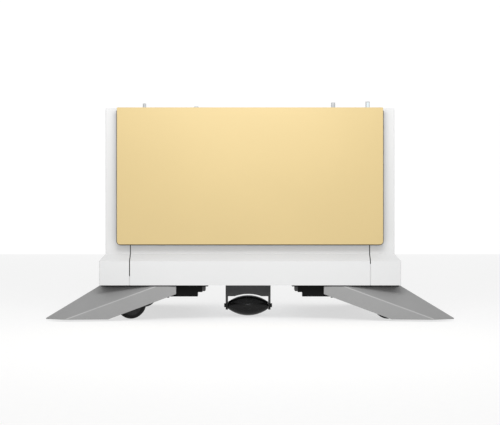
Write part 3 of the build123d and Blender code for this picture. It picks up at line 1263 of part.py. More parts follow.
save(base_plate(), "base_plates")
first_leg = leg_front_left()
for corner, (side, end) in CASTERS.items():
    save(mirrored_leg(first_leg, side, end), f"leg_{corner}")
    save(caster_fork(side, end), f"caster_fork_{corner}")
    save(caster_wheel(side, end), f"caster_wheels_{corner}")
save(leg_clamps(), "leg_clamps")
save(clamp_end_caps(), "clamp_end_caps")
save(roller_bracket(), "roller_bracket")
save(centre_roller(), "centre_roller")

save(front_door(), "front_door")
save(door_liner(), "door_liner")

save(base_tray(), "base_tray")
save(side_plate(-1), "side_plate_left")
save(side_plate(1), "side_plate_right")
save(front_top_rail(), "front_top_rail")

save(platen(), "platen")
save(carriage_beam(), "carriage_beam")
save(carriage(), "carriage")
save(print_heads(), "print_heads")
save(carriage_belt(), "carriage_belt")
save(belt_pulley(1, ENGINE_BEAM_Y[1] + MOTOR_LENGTH / 4), "drive_pulley")
save(belt_pulley(-1, 0), "idler_pulley")
save(drive_motors(), "drive_motors")
save(service_station(), "service_station")
save(feed_roller(), "feed_roller")
save(pinch_rollers(), "pinch_rollers")
save(pinch_bar(), "pinch_bar")
save(exit_guide(), "exit_guide")

save(spindle_bearings(), "spindle_bearings")
for name, level in ROLL_LEVELS.items():
    save(media_roll(level), f"media_roll_{name}")
    save(spindle(level), f"spindle_{name}")

save(ink_rack(), "ink_rack")
for index, ink in enumerate(INK_NAMES):
    save(ink_cartridge(index), f"ink_cartridge_{ink}")

save(stop_rail(), "stop_rail")
save(edge_stop(-STOP_RAIL_HALF + STOP_LEFT_INSET, *STOP_LEFT_SIZE), "edge_stop_left")
save(edge_stop(STOP_RAIL_HALF - STOP_RIGHT_INSET, *STOP_RIGHT_SIZE), "edge_stop_right")
save(button_housing(), "button_housing")
save(release_button(), "release_button")
save(status_beacon(), "status_beacon")

save(control_unit(), "control_unit")
save(mains_panel(), "mains_panel")
save(power_rocker(), "power_rocker")
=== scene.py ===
"""Large format plotter: materials, small fittings, studio floor, light and camera."""

import math

import bmesh
import bpy
from mathutils import Matrix, Vector


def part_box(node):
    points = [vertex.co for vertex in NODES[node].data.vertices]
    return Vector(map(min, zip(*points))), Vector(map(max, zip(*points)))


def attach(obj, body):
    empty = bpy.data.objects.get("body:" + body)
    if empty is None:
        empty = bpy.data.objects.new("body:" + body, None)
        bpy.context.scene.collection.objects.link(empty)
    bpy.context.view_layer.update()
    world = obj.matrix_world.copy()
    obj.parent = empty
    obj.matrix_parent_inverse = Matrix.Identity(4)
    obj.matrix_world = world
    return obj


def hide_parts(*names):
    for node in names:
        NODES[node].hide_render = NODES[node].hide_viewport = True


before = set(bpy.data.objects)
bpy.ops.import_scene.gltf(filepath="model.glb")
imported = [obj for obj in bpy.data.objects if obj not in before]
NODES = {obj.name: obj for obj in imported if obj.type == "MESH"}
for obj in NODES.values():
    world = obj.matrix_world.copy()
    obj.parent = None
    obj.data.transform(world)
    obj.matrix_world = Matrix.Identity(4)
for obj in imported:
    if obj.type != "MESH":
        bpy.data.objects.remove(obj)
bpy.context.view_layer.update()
CORNERS = ("front_left", "front_right", "rear_left", "rear_right")

# Colours of the paints that are used in more than one place.
WHITE = (0.695, 0.698, 0.70)
GOLD = (0.625, 0.482, 0.228)
LEG_GREY = (0.305, 0.305, 0.305)
BLACK = (0.006, 0.006, 0.006)
BRACKET_GREY = (0.055, 0.055, 0.056)
CAP_GREY = (0.05, 0.05, 0.05)

# Ranges that values are remapped from.
FULL = (0.0, 1.0)
NOISE = (0.3, 0.7)          # where most of a noise texture lies
PEAKS = (0.5, 0.8)          # only its higher parts
EDGES = (0.75, 0.99)        # agreement of the rounded and the real normal, edge to flat
SPANGLE = (0.1, 0.8)

EDGE_RADIUS = 0.0012        # width over which paint is rubbed along an edge
DOOR_EDGE_RADIUS = 0.0016
EDGE_SAMPLES = 4
RIDGE_CORE = 0.4            # share of a ridge's reach that gets the full painted highlight

MIX_COLOURS = (6, 7)        # the colour inputs of a Mix node, and its colour output
MIX_RESULT = 2
SCREW_STEPS = 24            # points around a screw, and around any other turned form
TURNED_STEPS = 32
SCREW_TURN = 0.7            # how far each screw of a group is turned beyond the last


# --- Node helpers ------------------------------------------------------------
class Surface:
    """A material under construction: its node tree, shader and object coordinates."""

    def __init__(self, name, roughness=0.5, metallic=0.0, shine=0.5):
        self.material = bpy.data.materials.new(name)
        self.material.use_nodes = True
        self.tree = self.material.node_tree
        self.bsdf = self.tree.nodes["Principled BSDF"]
        self.constant("Roughness", roughness)
        self.constant("Metallic", metallic)
        self.constant("Specular IOR Level", shine)
        self.coords = self.tree.nodes.new("ShaderNodeTexCoord").outputs["Object"]

    def link(self, source, target):
        self.tree.links.new(source, target)

    def constant(self, socket, value):
        """A shader value that is the same all over."""
        self.bsdf.inputs[socket].default_value = value

    def stretched(self, scale):
        """Object coordinates scaled along each axis."""
        node = self.tree.nodes.new("ShaderNodeMapping")
        node.inputs["Scale"].default_value = scale
        self.link(self.coords, node.inputs["Vector"])
        return node.outputs["Vector"]

    def noise(self, scale, detail=4.0, vector=None, roughness=0.55):
        node = self.tree.nodes.new("ShaderNodeTexNoise")
        node.inputs["Scale"].default_value = scale
        node.inputs["Detail"].default_value = detail
        node.inputs["Roughness"].default_value = roughness
        self.link(vector or self.coords, node.inputs["Vector"])
        return node.outputs["Fac"]

    def cells(self, scale):
        """Distance to the nearest cell centre."""
        node = self.tree.nodes.new("ShaderNodeTexVoronoi")
        node.inputs["Scale"].default_value = scale
        self.link(self.coords, node.inputs["Vector"])
        return node.outputs["Distance"]

    def remap(self, value, low, high, source=NOISE):
        """Carry a value from its source range to low and high, and hold it there."""
        node = self.tree.nodes.new("ShaderNodeMapRange")
        node.inputs["From Min"].default_value, node.inputs["From Max"].default_value = source
        node.inputs["To Min"].default_value = low
        node.inputs["To Max"].default_value = high
        self.link(value, node.inputs["Value"])
        return node.outputs["Result"]

    def maths(self, operation, first, second=None):
        """Arithmetic on sockets and fixed numbers."""
        node = self.tree.nodes.new("ShaderNodeMath")
        node.operation = operation
        return self.fed(node, first, second).outputs["Value"]

    def vector(self, operation, first, second=None, output="Vector"):
        """Vector arithmetic on sockets and fixed vectors."""
        node = self.tree.nodes.new("ShaderNodeVectorMath")
        node.operation = operation
        return self.fed(node, first, second).outputs[output]

    def fed(self, node, *values):
        """Give a node its first inputs, each a socket, a fixed value or nothing."""
        for socket, value in zip(node.inputs, values):
            if isinstance(value, bpy.types.NodeSocket):
                self.link(value, socket)
            elif value is not None:
                socket.default_value = value
        return node

    def blend(self, factor, first, second):
        """Mix two colours; each is a colour or a socket."""
        node = self.tree.nodes.new("ShaderNodeMix")
        node.data_type = "RGBA"
        self.link(factor, node.inputs["Factor"])
        for index, value in zip(MIX_COLOURS, (first, second)):
            if isinstance(value, tuple):
                node.inputs[index].default_value = (*value, 1.0)
            else:
                self.link(value, node.inputs[index])
        return node.outputs[MIX_RESULT]

    def radius(self, centre, axis):
        """Distance from a line through centre along one axis."""
        shifted = self.vector("SUBTRACT", self.coords, centre)
        flat = self.vector("MULTIPLY", shifted, [0.0 if name == axis else 1.0 for name in "xyz"])
        return self.vector("LENGTH", flat, output="Value")

    def ridge(self, start, end, reach):
        """About 1 along a line that is mirrored to all four corners, and 0 beyond reach."""
        shifted = self.vector("SUBTRACT", self.vector("ABSOLUTE", self.coords), start)
        across = self.vector("CROSS_PRODUCT", shifted, (end - start).normalized())
        distance = self.vector("LENGTH", across, output="Value")
        return self.remap(distance, 1.0, 0.0, (reach * RIDGE_CORE, reach))

    def height(self):
        """Height above the floor."""
        node = self.tree.nodes.new("ShaderNodeSeparateXYZ")
        self.link(self.coords, node.inputs[0])
        return node.outputs["Z"]

    def edges(self, radius=EDGE_RADIUS):
        """About 1 along sharp edges and 0 on flat faces."""
        soft = self.tree.nodes.new("ShaderNodeBevel")
        soft.samples = EDGE_SAMPLES
        soft.inputs["Radius"].default_value = radius
        real = self.tree.nodes.new("ShaderNodeNewGeometry").outputs["Normal"]
        agreement = self.vector("DOT_PRODUCT", soft.outputs["Normal"], real, output="Value")
        return self.remap(agreement, 1.0, 0.0, EDGES)

    def bump(self, height, distance, strength=1.0):
        """Raise the surface by a value times a distance in metres."""
        node = self.tree.nodes.new("ShaderNodeBump")
        node.inputs["Strength"].default_value = strength
        node.inputs["Distance"].default_value = distance
        self.link(height, node.inputs["Height"])
        self.link(node.outputs["Normal"], self.bsdf.inputs["Normal"])

    def colour(self, value):
        self.link(value, self.bsdf.inputs["Base Color"])

    def gloss(self, value, low, high, source=NOISE):
        """Let the roughness follow a value."""
        self.link(self.remap(value, low, high, source), self.bsdf.inputs["Roughness"])


def scaled(colour, factor):
    return tuple(min(1.0, part * factor) for part in colour)


def cloudy_tone(surface, value, colour, dark, light):
    """A colour that drifts between two shades of itself."""
    return surface.blend(surface.remap(value, *FULL), scaled(colour, dark), scaled(colour, light))


# --- Kinds of material -------------------------------------------------------
def moulded(name, colour, roughness=0.45, shine=0.5, wear=0.25, grain=1500.0, depth=0.00002):
    """Painted metal or moulded plastic: even colour, fine grain and lightly rubbed edges."""
    mottle = 0.05
    surface = Surface(name, roughness, shine=shine)
    cloudy = surface.noise(7.0, detail=5.0)
    fine = surface.noise(grain, detail=3.0)
    tone = cloudy_tone(surface, cloudy, colour, 1 - mottle, 1 + mottle)
    speck = surface.remap(fine, 0.0, 0.35, (0.45, 0.8))
    tone = surface.blend(speck, tone, scaled(colour, 1 - 1.5 * mottle))
    if wear:
        wear_and_highlight = surface.maths("MULTIPLY", surface.edges(), surface.remap(cloudy, 0.3, 1.0))
        wear_and_highlight = surface.maths("MULTIPLY", wear_and_highlight, wear)
        tone = surface.blend(wear_and_highlight, tone, scaled(colour, 1.5))
    surface.colour(tone)
    smears = surface.noise(22.0, detail=6.0, roughness=0.65)
    surface.gloss(smears, roughness - 0.06, roughness + 0.08)
    surface.bump(fine, depth)
    return surface.material


def brushed(name, colour, roughness=0.32, along="x", pitch=900.0):
    """Metal with fine lines along one axis and faint cloudy stains."""
    drawn_out = 60.0        # how much longer than wide the lines are
    surface = Surface(name, roughness, metallic=1.0)
    scale = [pitch / drawn_out if axis == along else pitch for axis in "xyz"]
    lines = surface.noise(1.0, detail=3.0, vector=surface.stretched(scale))
    stains = surface.noise(9.0, detail=6.0)
    tone = cloudy_tone(surface, stains, colour, 0.86, 1.08)
    surface.colour(surface.blend(surface.remap(lines, 0.0, 0.5), tone, scaled(colour, 0.7)))
    surface.gloss(lines, roughness - 0.08, roughness + 0.14)
    surface.bump(lines, 0.000015)
    return surface.material


def zinc(name):
    """Zinc-plated sheet with its pale spangle."""
    dark, light = (0.60, 0.62, 0.64), (0.74, 0.75, 0.77)
    surface = Surface(name, 0.42, metallic=1.0)
    spangle = surface.cells(70.0)
    surface.colour(surface.blend(surface.remap(spangle, *FULL, SPANGLE), dark, light))
    surface.gloss(spangle, 0.34, 0.52, SPANGLE)
    surface.bump(surface.noise(600.0, detail=3.0), 0.00001)
    return surface.material


def cabinet_white():
    """Satin white enamel with a faint orange peel."""
    dust_colour = (0.66, 0.65, 0.63)
    surface = Surface("cabinet_white", 0.38)
    cloudy = surface.noise(2.5)
    tone = cloudy_tone(surface, cloudy, WHITE, 0.985, 1.01)
    dust = surface.remap(surface.noise(30.0, detail=8.0, roughness=0.7), 0.0, 0.06, (0.52, 0.8))
    surface.colour(surface.blend(dust, tone, dust_colour))
    surface.gloss(cloudy, 0.34, 0.44)
    peel = surface.noise(260.0, detail=2.0)
    grain = surface.noise(1800.0, detail=2.0)
    height = surface.maths("ADD", peel, surface.maths("MULTIPLY", grain, 0.3))
    surface.bump(height, 0.00003, strength=0.6)
    return surface.material


def door_gold():
    """Pale gold satin coat with a fine grain."""
    surface = Surface("door_gold", 0.4, shine=0.4)
    grain = surface.noise(700.0, roughness=0.7)
    tone = cloudy_tone(surface, surface.noise(3.0), GOLD, 0.985, 1.015)
    tone = surface.blend(surface.remap(grain, 0.0, 0.5, (0.35, 0.75)), tone, scaled(GOLD, 0.9))
    edges = surface.edges(DOOR_EDGE_RADIUS)
    wear_and_highlight = surface.maths("MULTIPLY", edges, surface.remap(grain, 0.2, 0.6))
    surface.colour(surface.blend(wear_and_highlight, tone, scaled(GOLD, 1.25)))
    surface.gloss(grain, 0.36, 0.48)
    surface.constant("Coat Weight", 0.15)
    surface.constant("Coat Roughness", 0.3)
    surface.bump(grain, 0.00002, strength=0.7)
    return surface.material


def leg_powder():
    """Grey powder coat, with a fine pebble and a painted highlight along each leg's ridge."""
    low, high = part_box("leg_rear_right")
    toe = Vector((high.x - 0.097, high.y - 0.0005, low.z + 0.005))      # the ridge's lower end
    crest = Vector((low.x + 0.089, high.y - 0.039, high.z))             # and its upper end
    reach = 0.0034
    surface = Surface("leg_grey", 0.5)
    cloudy = surface.noise(5.0, detail=5.0)
    pebble = surface.noise(800.0, detail=3.0)
    tone = cloudy_tone(surface, cloudy, LEG_GREY, 0.96, 1.04)
    pits = surface.remap(pebble, 0.0, 0.4, (0.45, 0.8))
    tone = surface.blend(pits, tone, scaled(LEG_GREY, 0.85))
    # Painted highlight: a lighter line along each leg's ridge, standing in for the light its
    # rounded edge catches.
    ridge = surface.ridge(toe, crest, reach)
    wear_and_highlight = surface.maths("MULTIPLY", ridge, surface.remap(cloudy, 0.6, 0.9))
    surface.colour(surface.blend(wear_and_highlight, tone, scaled(LEG_GREY, 1.55)))
    surface.gloss(pebble, 0.44, 0.6)
    surface.bump(pebble, 0.00004)
    return surface.material


def wheel_pair(corner):
    """Black rubber tyre around a dark grey moulded disc."""
    low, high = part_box(f"caster_wheels_{corner}")
    tyre = (high.z - low.z) / 2
    rim = (tyre * 0.765, tyre * 0.775)      # where the disc ends and the tyre starts
    surface = Surface(f"caster_wheel_{corner}", 0.5, shine=0.25)
    distance = surface.radius((low + high) / 2, "y")
    on_tyre = surface.remap(distance, *FULL, rim)
    scuffs = surface.noise(90.0, detail=6.0, roughness=0.7)
    scuffed = surface.remap(scuffs, 0.0, 0.5, PEAKS)
    rubber = surface.blend(scuffed, (0.008, 0.008, 0.008), (0.03, 0.03, 0.03))
    drift = surface.remap(scuffs, *FULL)
    disc = surface.blend(drift, (0.028, 0.028, 0.029), (0.038, 0.038, 0.039))
    surface.colour(surface.blend(on_tyre, disc, rubber))
    surface.gloss(on_tyre, 0.42, 0.68, FULL)
    rings = surface.maths("SINE", surface.maths("MULTIPLY", distance, 1800.0))
    surface.bump(surface.maths("ADD", surface.maths("MULTIPLY", rings, 0.25), scuffs), 0.00006)
    return surface.material


def roller_nylon():
    """Semi-gloss black nylon with turning marks and fine scuffs round it."""
    surface = Surface("roller_black", 0.2, shine=0.22)
    scuffs = surface.noise(60.0, detail=8.0, roughness=0.75)
    mark = surface.remap(scuffs, 0.0, 0.6, (0.55, 0.8))
    surface.colour(surface.blend(mark, (0.007, 0.007, 0.007), (0.020, 0.020, 0.020)))
    surface.gloss(scuffs, 0.16, 0.3)
    turned = surface.stretched((1400.0, 6.0, 6.0))
    surface.bump(surface.noise(1.0, detail=2.0, vector=turned), 0.00001)
    return surface.material


def wound_paper(roll):
    """Uncoated paper, wound in close rings that show on the roll's ends."""
    low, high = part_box(f"media_roll_{roll}")
    outside = (high.z - low.z) / 2
    turn = (outside - 0.001, outside - 0.0004)      # the outermost turn, which hides the rings
    surface = Surface(f"media_paper_{roll}", 0.85)
    distance = surface.radius((low + high) / 2, "x")
    wobble = surface.maths("MULTIPLY", surface.noise(14.0, detail=2.0), 0.002)
    phase = surface.maths("MULTIPLY", surface.maths("ADD", distance, wobble), 5200.0)
    rings = surface.remap(surface.maths("SINE", phase), 0.0, 0.35, (-1.0, 1.0))
    wound = surface.maths("MULTIPLY", surface.remap(distance, 1.0, 0.0, turn), rings)
    fibre = surface.noise(500.0, detail=5.0, roughness=0.7)
    tone = surface.blend(surface.remap(fibre, *FULL), (0.80, 0.79, 0.75), (0.87, 0.86, 0.83))
    surface.colour(surface.blend(wound, tone, (0.60, 0.59, 0.56)))
    surface.bump(surface.maths("ADD", fibre, wound), 0.00003, strength=0.6)
    return surface.material


def ground_rubber(name, colour):
    """Ground rubber with fine rings around its axis."""
    surface = Surface(name, 0.72)
    dust = surface.noise(40.0, detail=6.0, roughness=0.7)
    surface.colour(surface.blend(surface.remap(dust, 0.0, 0.6, PEAKS), colour, scaled(colour, 2.5)))
    surface.gloss(dust, 0.66, 0.82)
    rings = surface.stretched((2200.0, 20.0, 20.0))
    surface.bump(surface.noise(1.0, detail=2.0, vector=rings), 0.00005)
    return surface.material


def clear_lens(name, colour):
    """Frosted plastic light cover."""
    surface = Surface(name, 0.3)
    frost = surface.noise(900.0, detail=3.0)
    surface.colour(cloudy_tone(surface, frost, colour, 0.95, 1.05))
    surface.gloss(frost, 0.26, 0.4)
    surface.constant("Coat Weight", 0.4)
    surface.bump(frost, 0.00001)
    return surface.material


def bracket_black_at_foot():
    """Dark grey satin paint, black on the ends of the arms below a set height above the floor."""
    black_below_heights = (0.056, 0.060)        # height above the floor over which it turns black
    surface = Surface("bracket_grey", 0.45, shine=0.2)
    cloudy = surface.noise(12.0, detail=5.0)
    tone = cloudy_tone(surface, cloudy, BRACKET_GREY, 0.92, 1.1)
    wear_and_highlight = surface.maths("MULTIPLY", surface.edges(), surface.remap(cloudy, 0.1, 0.4))
    tone = surface.blend(wear_and_highlight, tone, scaled(BRACKET_GREY, 1.6))
    level = surface.maths("ADD", surface.height(), surface.maths("MULTIPLY", cloudy, 0.001))
    surface.colour(surface.blend(surface.remap(level, 1.0, 0.0, black_below_heights), tone, BLACK))
    surface.gloss(cloudy, 0.4, 0.52)
    surface.bump(surface.noise(1500.0, detail=3.0), 0.00002)
    return surface.material


# --- Materials of the CAD nodes ----------------------------------------------
def paint(material, *nodes):
    """Give CAD nodes a material."""
    for node in nodes:
        NODES[node].data.materials.clear()
        NODES[node].data.materials.append(material)


def paint_outside():
    """Covers, door, legs, casters and the centre roller."""
    covers = ("side_cover_left", "side_cover_right", "front_cover", "rear_cover", "top_cover")
    paint(cabinet_white(), *covers)
    paint(door_gold(), "front_door")
    paint(leg_powder(), *(f"leg_{corner}" for corner in CORNERS))
    black = moulded("black_steel", BLACK, shine=0.06, wear=0.05)
    paint(black, "base_plates", "leg_clamps", "spindle_bearings", "pinch_bar")
    paint(moulded("cap_grey", CAP_GREY, 0.5), "clamp_end_caps")
    paint(bracket_black_at_foot(), "roller_bracket")
    paint(roller_nylon(), "centre_roller")
    fork = moulded("fork_black", (0.012, 0.012, 0.012), 0.4, shine=0.25, wear=0.3)
    paint(fork, *(f"caster_fork_{corner}" for corner in CORNERS))
    for corner in CORNERS:
        paint(wheel_pair(corner), f"caster_wheels_{corner}")
    light = moulded("top_grey", (0.50, 0.51, 0.52), 0.42, wear=0.1)
    paint(light, "edge_stop_left", "edge_stop_right", "release_button", "button_housing")
    paint(light, "status_beacon")


def paint_inside():
    """Frame, print engine, media rolls and ink."""
    paint(moulded("rail_grey", BRACKET_GREY, shine=0.2, wear=0.4), "front_top_rail")
    paint(zinc("zinc_sheet"), "base_tray", "side_plate_left", "side_plate_right", "door_liner")
    aluminium = brushed("anodised_aluminium", (0.68, 0.69, 0.70), 0.36)
    paint(aluminium, "platen", "carriage_beam", "stop_rail", "exit_guide")
    turned = brushed("turned_steel", (0.52, 0.53, 0.55), 0.26)
    paint(turned, "spindle_upper", "spindle_lower")
    pulley = brushed("pulley_steel", (0.60, 0.60, 0.62), 0.3, along="y")
    paint(pulley, "drive_pulley", "idler_pulley")
    engine = moulded("engine_black", (0.014, 0.014, 0.015), 0.5, grain=900.0, depth=0.00004)
    paint(engine, "carriage", "service_station", "drive_motors", "ink_rack")
    paint(engine, "mains_panel", "power_rocker")
    paint(moulded("head_grey", (0.10, 0.105, 0.115)), "print_heads")
    paint(ground_rubber("feed_rubber", (0.02, 0.02, 0.021)), "feed_roller", "pinch_rollers")
    for roll in ("upper", "lower"):
        paint(wound_paper(roll), f"media_roll_{roll}")
    paint(moulded("control_grey", (0.46, 0.47, 0.48)), "control_unit")
    inks = {
        "black": (0.012, 0.012, 0.013),
        "cyan": (0.010, 0.26, 0.50),
        "magenta": (0.50, 0.012, 0.15),
        "yellow": (0.80, 0.55, 0.012),
    }
    for ink, colour in inks.items():
        paint(moulded(f"ink_{ink}", colour, 0.4), f"ink_cartridge_{ink}")


# --- Mesh helpers ------------------------------------------------------------
def finish_mesh(name, bm, material, body):
    """Turn a built mesh into a piece that rides on a CAD body."""
    bmesh.ops.recalc_face_normals(bm, faces=bm.faces)
    mesh_data = bpy.data.meshes.new(name)
    bm.to_mesh(mesh_data)
    bm.free()
    mesh_data.materials.append(material)
    piece = bpy.data.objects.new(name, mesh_data)
    bpy.context.scene.collection.objects.link(piece)
    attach(piece, body)
    return piece


def frame_on(place, normal):
    """Matrix whose Z axis is normal, at a place."""
    rotation = Vector(normal).to_track_quat("Z", "Y").to_matrix().to_4x4()
    return Matrix.Translation(place) @ rotation


def row(start, stop, count):
    """Evenly spaced values from start to stop."""
    return [start + (stop - start) * index / (count - 1) for index in range(count)]


def around(radius, steps, height=0.0):
    """Points of a level circle."""
    angles = [2 * math.pi * step / steps for step in range(steps)]
    return [Vector((radius * math.cos(a), radius * math.sin(a), height)) for a in angles]


def skin(bm, rings, smooth=False, closed=False):
    """Skin over a row of equal rings of points, with end faces or joined up to its start."""
    loops = [[bm.verts.new(point) for point in ring] for ring in rings]
    count = len(loops[0])
    if not closed:
        bm.faces.new(loops[-1])
        bm.faces.new(list(reversed(loops[0])))
    pairs = zip(loops, loops[1:] + loops[:1]) if closed else zip(loops, loops[1:])
    for first, second in pairs:
        for side in range(count):
            beyond = (side + 1) % count
            face = bm.faces.new((first[side], first[beyond], second[beyond], second[side]))
            face.smooth = smooth


def add_turned(bm, place, normal, profile):
    """A turned form: profile is a list of radius and height pairs along the normal."""
    matrix = frame_on(Vector(place), normal)
    circles = [around(radius, TURNED_STEPS, height) for radius, height in profile]
    skin(bm, [[matrix @ point for point in circle] for circle in circles], smooth=True)


def add_bar(bm, low, high, soft):
    """A bar between two corners whose edges are rounded."""
    made = bmesh.ops.create_cube(bm, size=1.0)
    size = Vector(high) - Vector(low)
    middle = (Vector(high) + Vector(low)) / 2
    for vert in made["verts"]:
        vert.co = middle + Vector(a * b for a, b in zip(vert.co, size))
    edges = {edge for vert in made["verts"] for edge in vert.link_edges}
    bmesh.ops.bevel(bm, geom=list(edges), offset=soft, segments=3, affect="EDGES")


def add_screw(bm, place, normal, radius, turn):
    """Button-head screw with a hexagonal recess, seated on a face."""
    height = radius * 0.62
    recess, floor = radius * 0.46, height * 0.35
    head = ((1.0, 0.0), (1.0, 0.28), (0.94, 0.62), (0.80, 0.88), (0.62, 1.0))
    rings = [around(radius * share, SCREW_STEPS, height * level) for share, level in head]
    sector = math.pi / 3
    for level in (height, floor):
        ring = []
        for step in range(SCREW_STEPS):
            angle = 2 * math.pi * step / SCREW_STEPS
            flat = recess * math.cos(sector / 2) / math.cos(angle % sector - sector / 2)
            ring.append(Vector((flat * math.cos(angle), flat * math.sin(angle), level)))
        rings.append(ring)
    matrix = frame_on(place, normal) @ Matrix.Rotation(turn, 4, "Z")
    skin(bm, [[matrix @ point for point in ring] for ring in rings], smooth=True)


def screws(name, places, normal, material, radius):
    """A group of like screws on the cabinet, each turned a little further."""
    bm = bmesh.new()
    for index, place in enumerate(places):
        add_screw(bm, Vector(place), normal, radius, turn=SCREW_TURN * index)
    finish_mesh(name, bm, material, "cabinet")


# --- Fittings, in metres -----------------------------------------------------
def cover_screws(material):
    """Screws down both sides and along the top of the rear cover."""
    low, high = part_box("rear_cover")
    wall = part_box("top_cover")[1].y
    side_inset, end_inset, foot, top_inset = 0.016, 0.2, 0.16, 0.03
    places = []
    for x in (low.x + side_inset, high.x - side_inset):
        places += [(x, wall, z) for z in row(low.z + foot, high.z - top_inset, 5)]
    for x in row(low.x + end_inset, high.x - end_inset, 4):
        places.append((x, wall, high.z - top_inset))
    screws("rear_cover_screws", places, (0, 1, 0), material, radius=0.0042)


def toothed_belt(material):
    """The carriage belt with its teeth, in the space of its CAD ring."""
    low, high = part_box("carriage_belt")
    thickness, pitch, tooth_share = 0.0015, 0.005, 0.42
    tooth_steps = ((0.0, True), (0.45, True), (0.55, False), (0.9, False))
    outer = (high.z - low.z) / 2
    centre_z = (high.z + low.z) / 2
    run = (high.x - low.x) / 2 - outer
    straight, bend = 2 * run, math.pi * outer
    length = 2 * straight + 2 * bend

    def station(distance):
        """Place and outward direction at a distance along the belt."""
        if distance < straight:
            return Vector((run - distance, 0, centre_z + outer)), Vector((0, 0, 1))
        distance -= straight
        if distance < bend:
            end, angle = -run, math.pi / 2 + distance / outer
        else:
            distance -= bend
            if distance < straight:
                return Vector((distance - run, 0, centre_z - outer)), Vector((0, 0, -1))
            end, angle = run, -math.pi / 2 + (distance - straight) / outer
        out = Vector((math.cos(angle), 0, math.sin(angle)))
        return Vector((end, 0, centre_z)) + out * outer, out

    count = round(length / pitch)
    rings = []
    for index in range(count):
        for share, raised in tooth_steps:
            place, out = station(length * (index + share) / count)
            inner = place - out * thickness * (1 if raised else 1 - tooth_share)
            corners = ((place, low.y), (place, high.y), (inner, high.y), (inner, low.y))
            rings.append([(point.x, y, point.z) for point, y in corners])
    bm = bmesh.new()
    skin(bm, rings, closed=True)
    belt = finish_mesh("carriage_belt_toothed", bm, material, "cabinet")
    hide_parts("carriage_belt")


def disc_ribs(corner, material):
    """Radial ribs in the dish of both wheels of a caster."""
    low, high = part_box(f"caster_wheels_{corner}")
    centre = (low + high) / 2
    dish, sink, ribs, crown = 0.0025, 0.0004, 8, 0.6
    sections = ((0.0155, 0.0022, 0.0021), (0.03255, 0.0016, 0.0021), (0.0465, 0.0012, 0.0012))
    bm = bmesh.new()
    for face, y in ((-1, low.y), (1, high.y)):
        for along in around(1.0, ribs):
            outward = Vector((along.x, 0, along.y))
            across = Vector((-along.y, 0, along.x))
            rings = []
            for radius, half, height in sections:
                base = Vector((centre.x, y - face * dish, centre.z)) + outward * radius
                top = Vector((0, face * height, 0))
                foot = Vector((0, -face * sink, 0))
                rings.append([
                    base - across * half + foot,
                    base - across * half * crown + top,
                    base + across * half * crown + top,
                    base + across * half + foot,
                ])
            skin(bm, rings)
    finish_mesh(f"caster_disc_ribs_{corner}", bm, material, f"caster_pair_{corner}")


def caster_bolts(material):
    """Four bolts that hold each caster's mount under the base plates."""
    mount, trail, circle = 0.009, 0.041, 0.032
    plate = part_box("base_plates")[1].z
    places = []
    for corner in CORNERS:
        low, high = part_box(f"caster_fork_{corner}")
        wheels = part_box(f"caster_wheels_{corner}")
        axle_x = (wheels[0].x + wheels[1].x) / 2
        swivel = Vector((axle_x - trail, (low.y + high.y) / 2, plate - mount))
        for index in range(4):
            angle = math.pi / 4 + math.pi / 2 * index
            places.append(swivel + circle * Vector((math.cos(angle), math.sin(angle), 0)))
    screws("caster_mount_bolts", places, (0, 0, -1), material, radius=0.0038)


def clamp_screws(material):
    """Two screws in the lower face of each leg clamp."""
    low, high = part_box("leg_clamps")
    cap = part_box("clamp_end_caps")[1].x
    step, inset, spacing = 0.006, 0.033, (0.055, 0.095)
    places = []
    for side in (-1, 1):
        for end in (-1, 1):
            for offset in spacing:
                places.append((side * (cap + offset), end * (high.y - inset), low.z + step))
    screws("leg_clamp_screws", places, (0, 0, -1), material, radius=0.0045)


def door_buffers(material):
    """Rubber buffers on the inner face of the door, near its lower edge."""
    low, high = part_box("front_door")
    insets, lift = (0.072, 0.412), 0.045
    profile = [(0.0100, -0.0005), (0.0100, 0.0030), (0.0088, 0.0060)]
    profile += [(0.0070, 0.0105), (0.0045, 0.0125), (0.0018, 0.0132)]
    bm = bmesh.new()
    for side in (-1, 1):
        for inset in insets:
            add_turned(bm, (side * (high.x - inset), high.y, low.z + lift), (0, 1, 0), profile)
    finish_mesh("door_buffers", bm, material, "door")


def beacon_strip(material):
    """Frosted light strip in the front of the beacon."""
    low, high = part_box("status_beacon")
    inset, length, proud, sunk = 0.004, 0.040, 0.0006, 0.002
    corner = (low.x + inset, low.y - proud, high.z - length)
    opposite = (high.x - inset, low.y + sunk, high.z - inset)
    bm = bmesh.new()
    add_bar(bm, corner, opposite, soft=0.0005)
    finish_mesh("beacon_light_strip", bm, material, "cabinet")


def head_levers(material):
    """Latch lever and knob over each print head in the carriage."""
    low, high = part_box("print_heads")
    half, grip_half, top = 0.0065, 0.0045, high.z
    edge = 0.0085               # from the block's side to the first lever's middle
    knob = [(0.0042, 0), (0.0042, 0.003), (0.0034, 0.0042), (0.0012, 0.0046)]
    bm = bmesh.new()
    for x in row(low.x + edge, high.x - edge, 4):
        arm_foot, arm_end = (x - half, low.y + 0.010, top), (x + half, high.y - 0.022, top + 0.0025)
        add_bar(bm, arm_foot, arm_end, soft=0.0008)
        grip_foot = (x - grip_half, low.y + 0.004, top + 0.0012)
        grip_end = (x + grip_half, low.y + 0.016, top + 0.006)
        add_bar(bm, grip_foot, grip_end, soft=0.0012)
        add_turned(bm, (x, high.y - 0.014, top), (0, 0, 1), knob)
    finish_mesh("head_latch_levers", bm, material, "print_carriage")


def blank_plate(material):
    """Blank rating plate beside the mains inlet."""
    low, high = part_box("mains_panel")
    gap, width, half_height = 0.04, 0.07, 0.018
    inner, outer = high.y - 0.0022, high.y - 0.0012
    middle = (low.z + high.z) / 2
    corner = (high.x + gap, inner, middle - half_height)
    opposite = (high.x + gap + width, outer, middle + half_height)
    bm = bmesh.new()
    add_bar(bm, corner, opposite, soft=0.0004)
    finish_mesh("rating_plate_blank", bm, material, "cabinet")


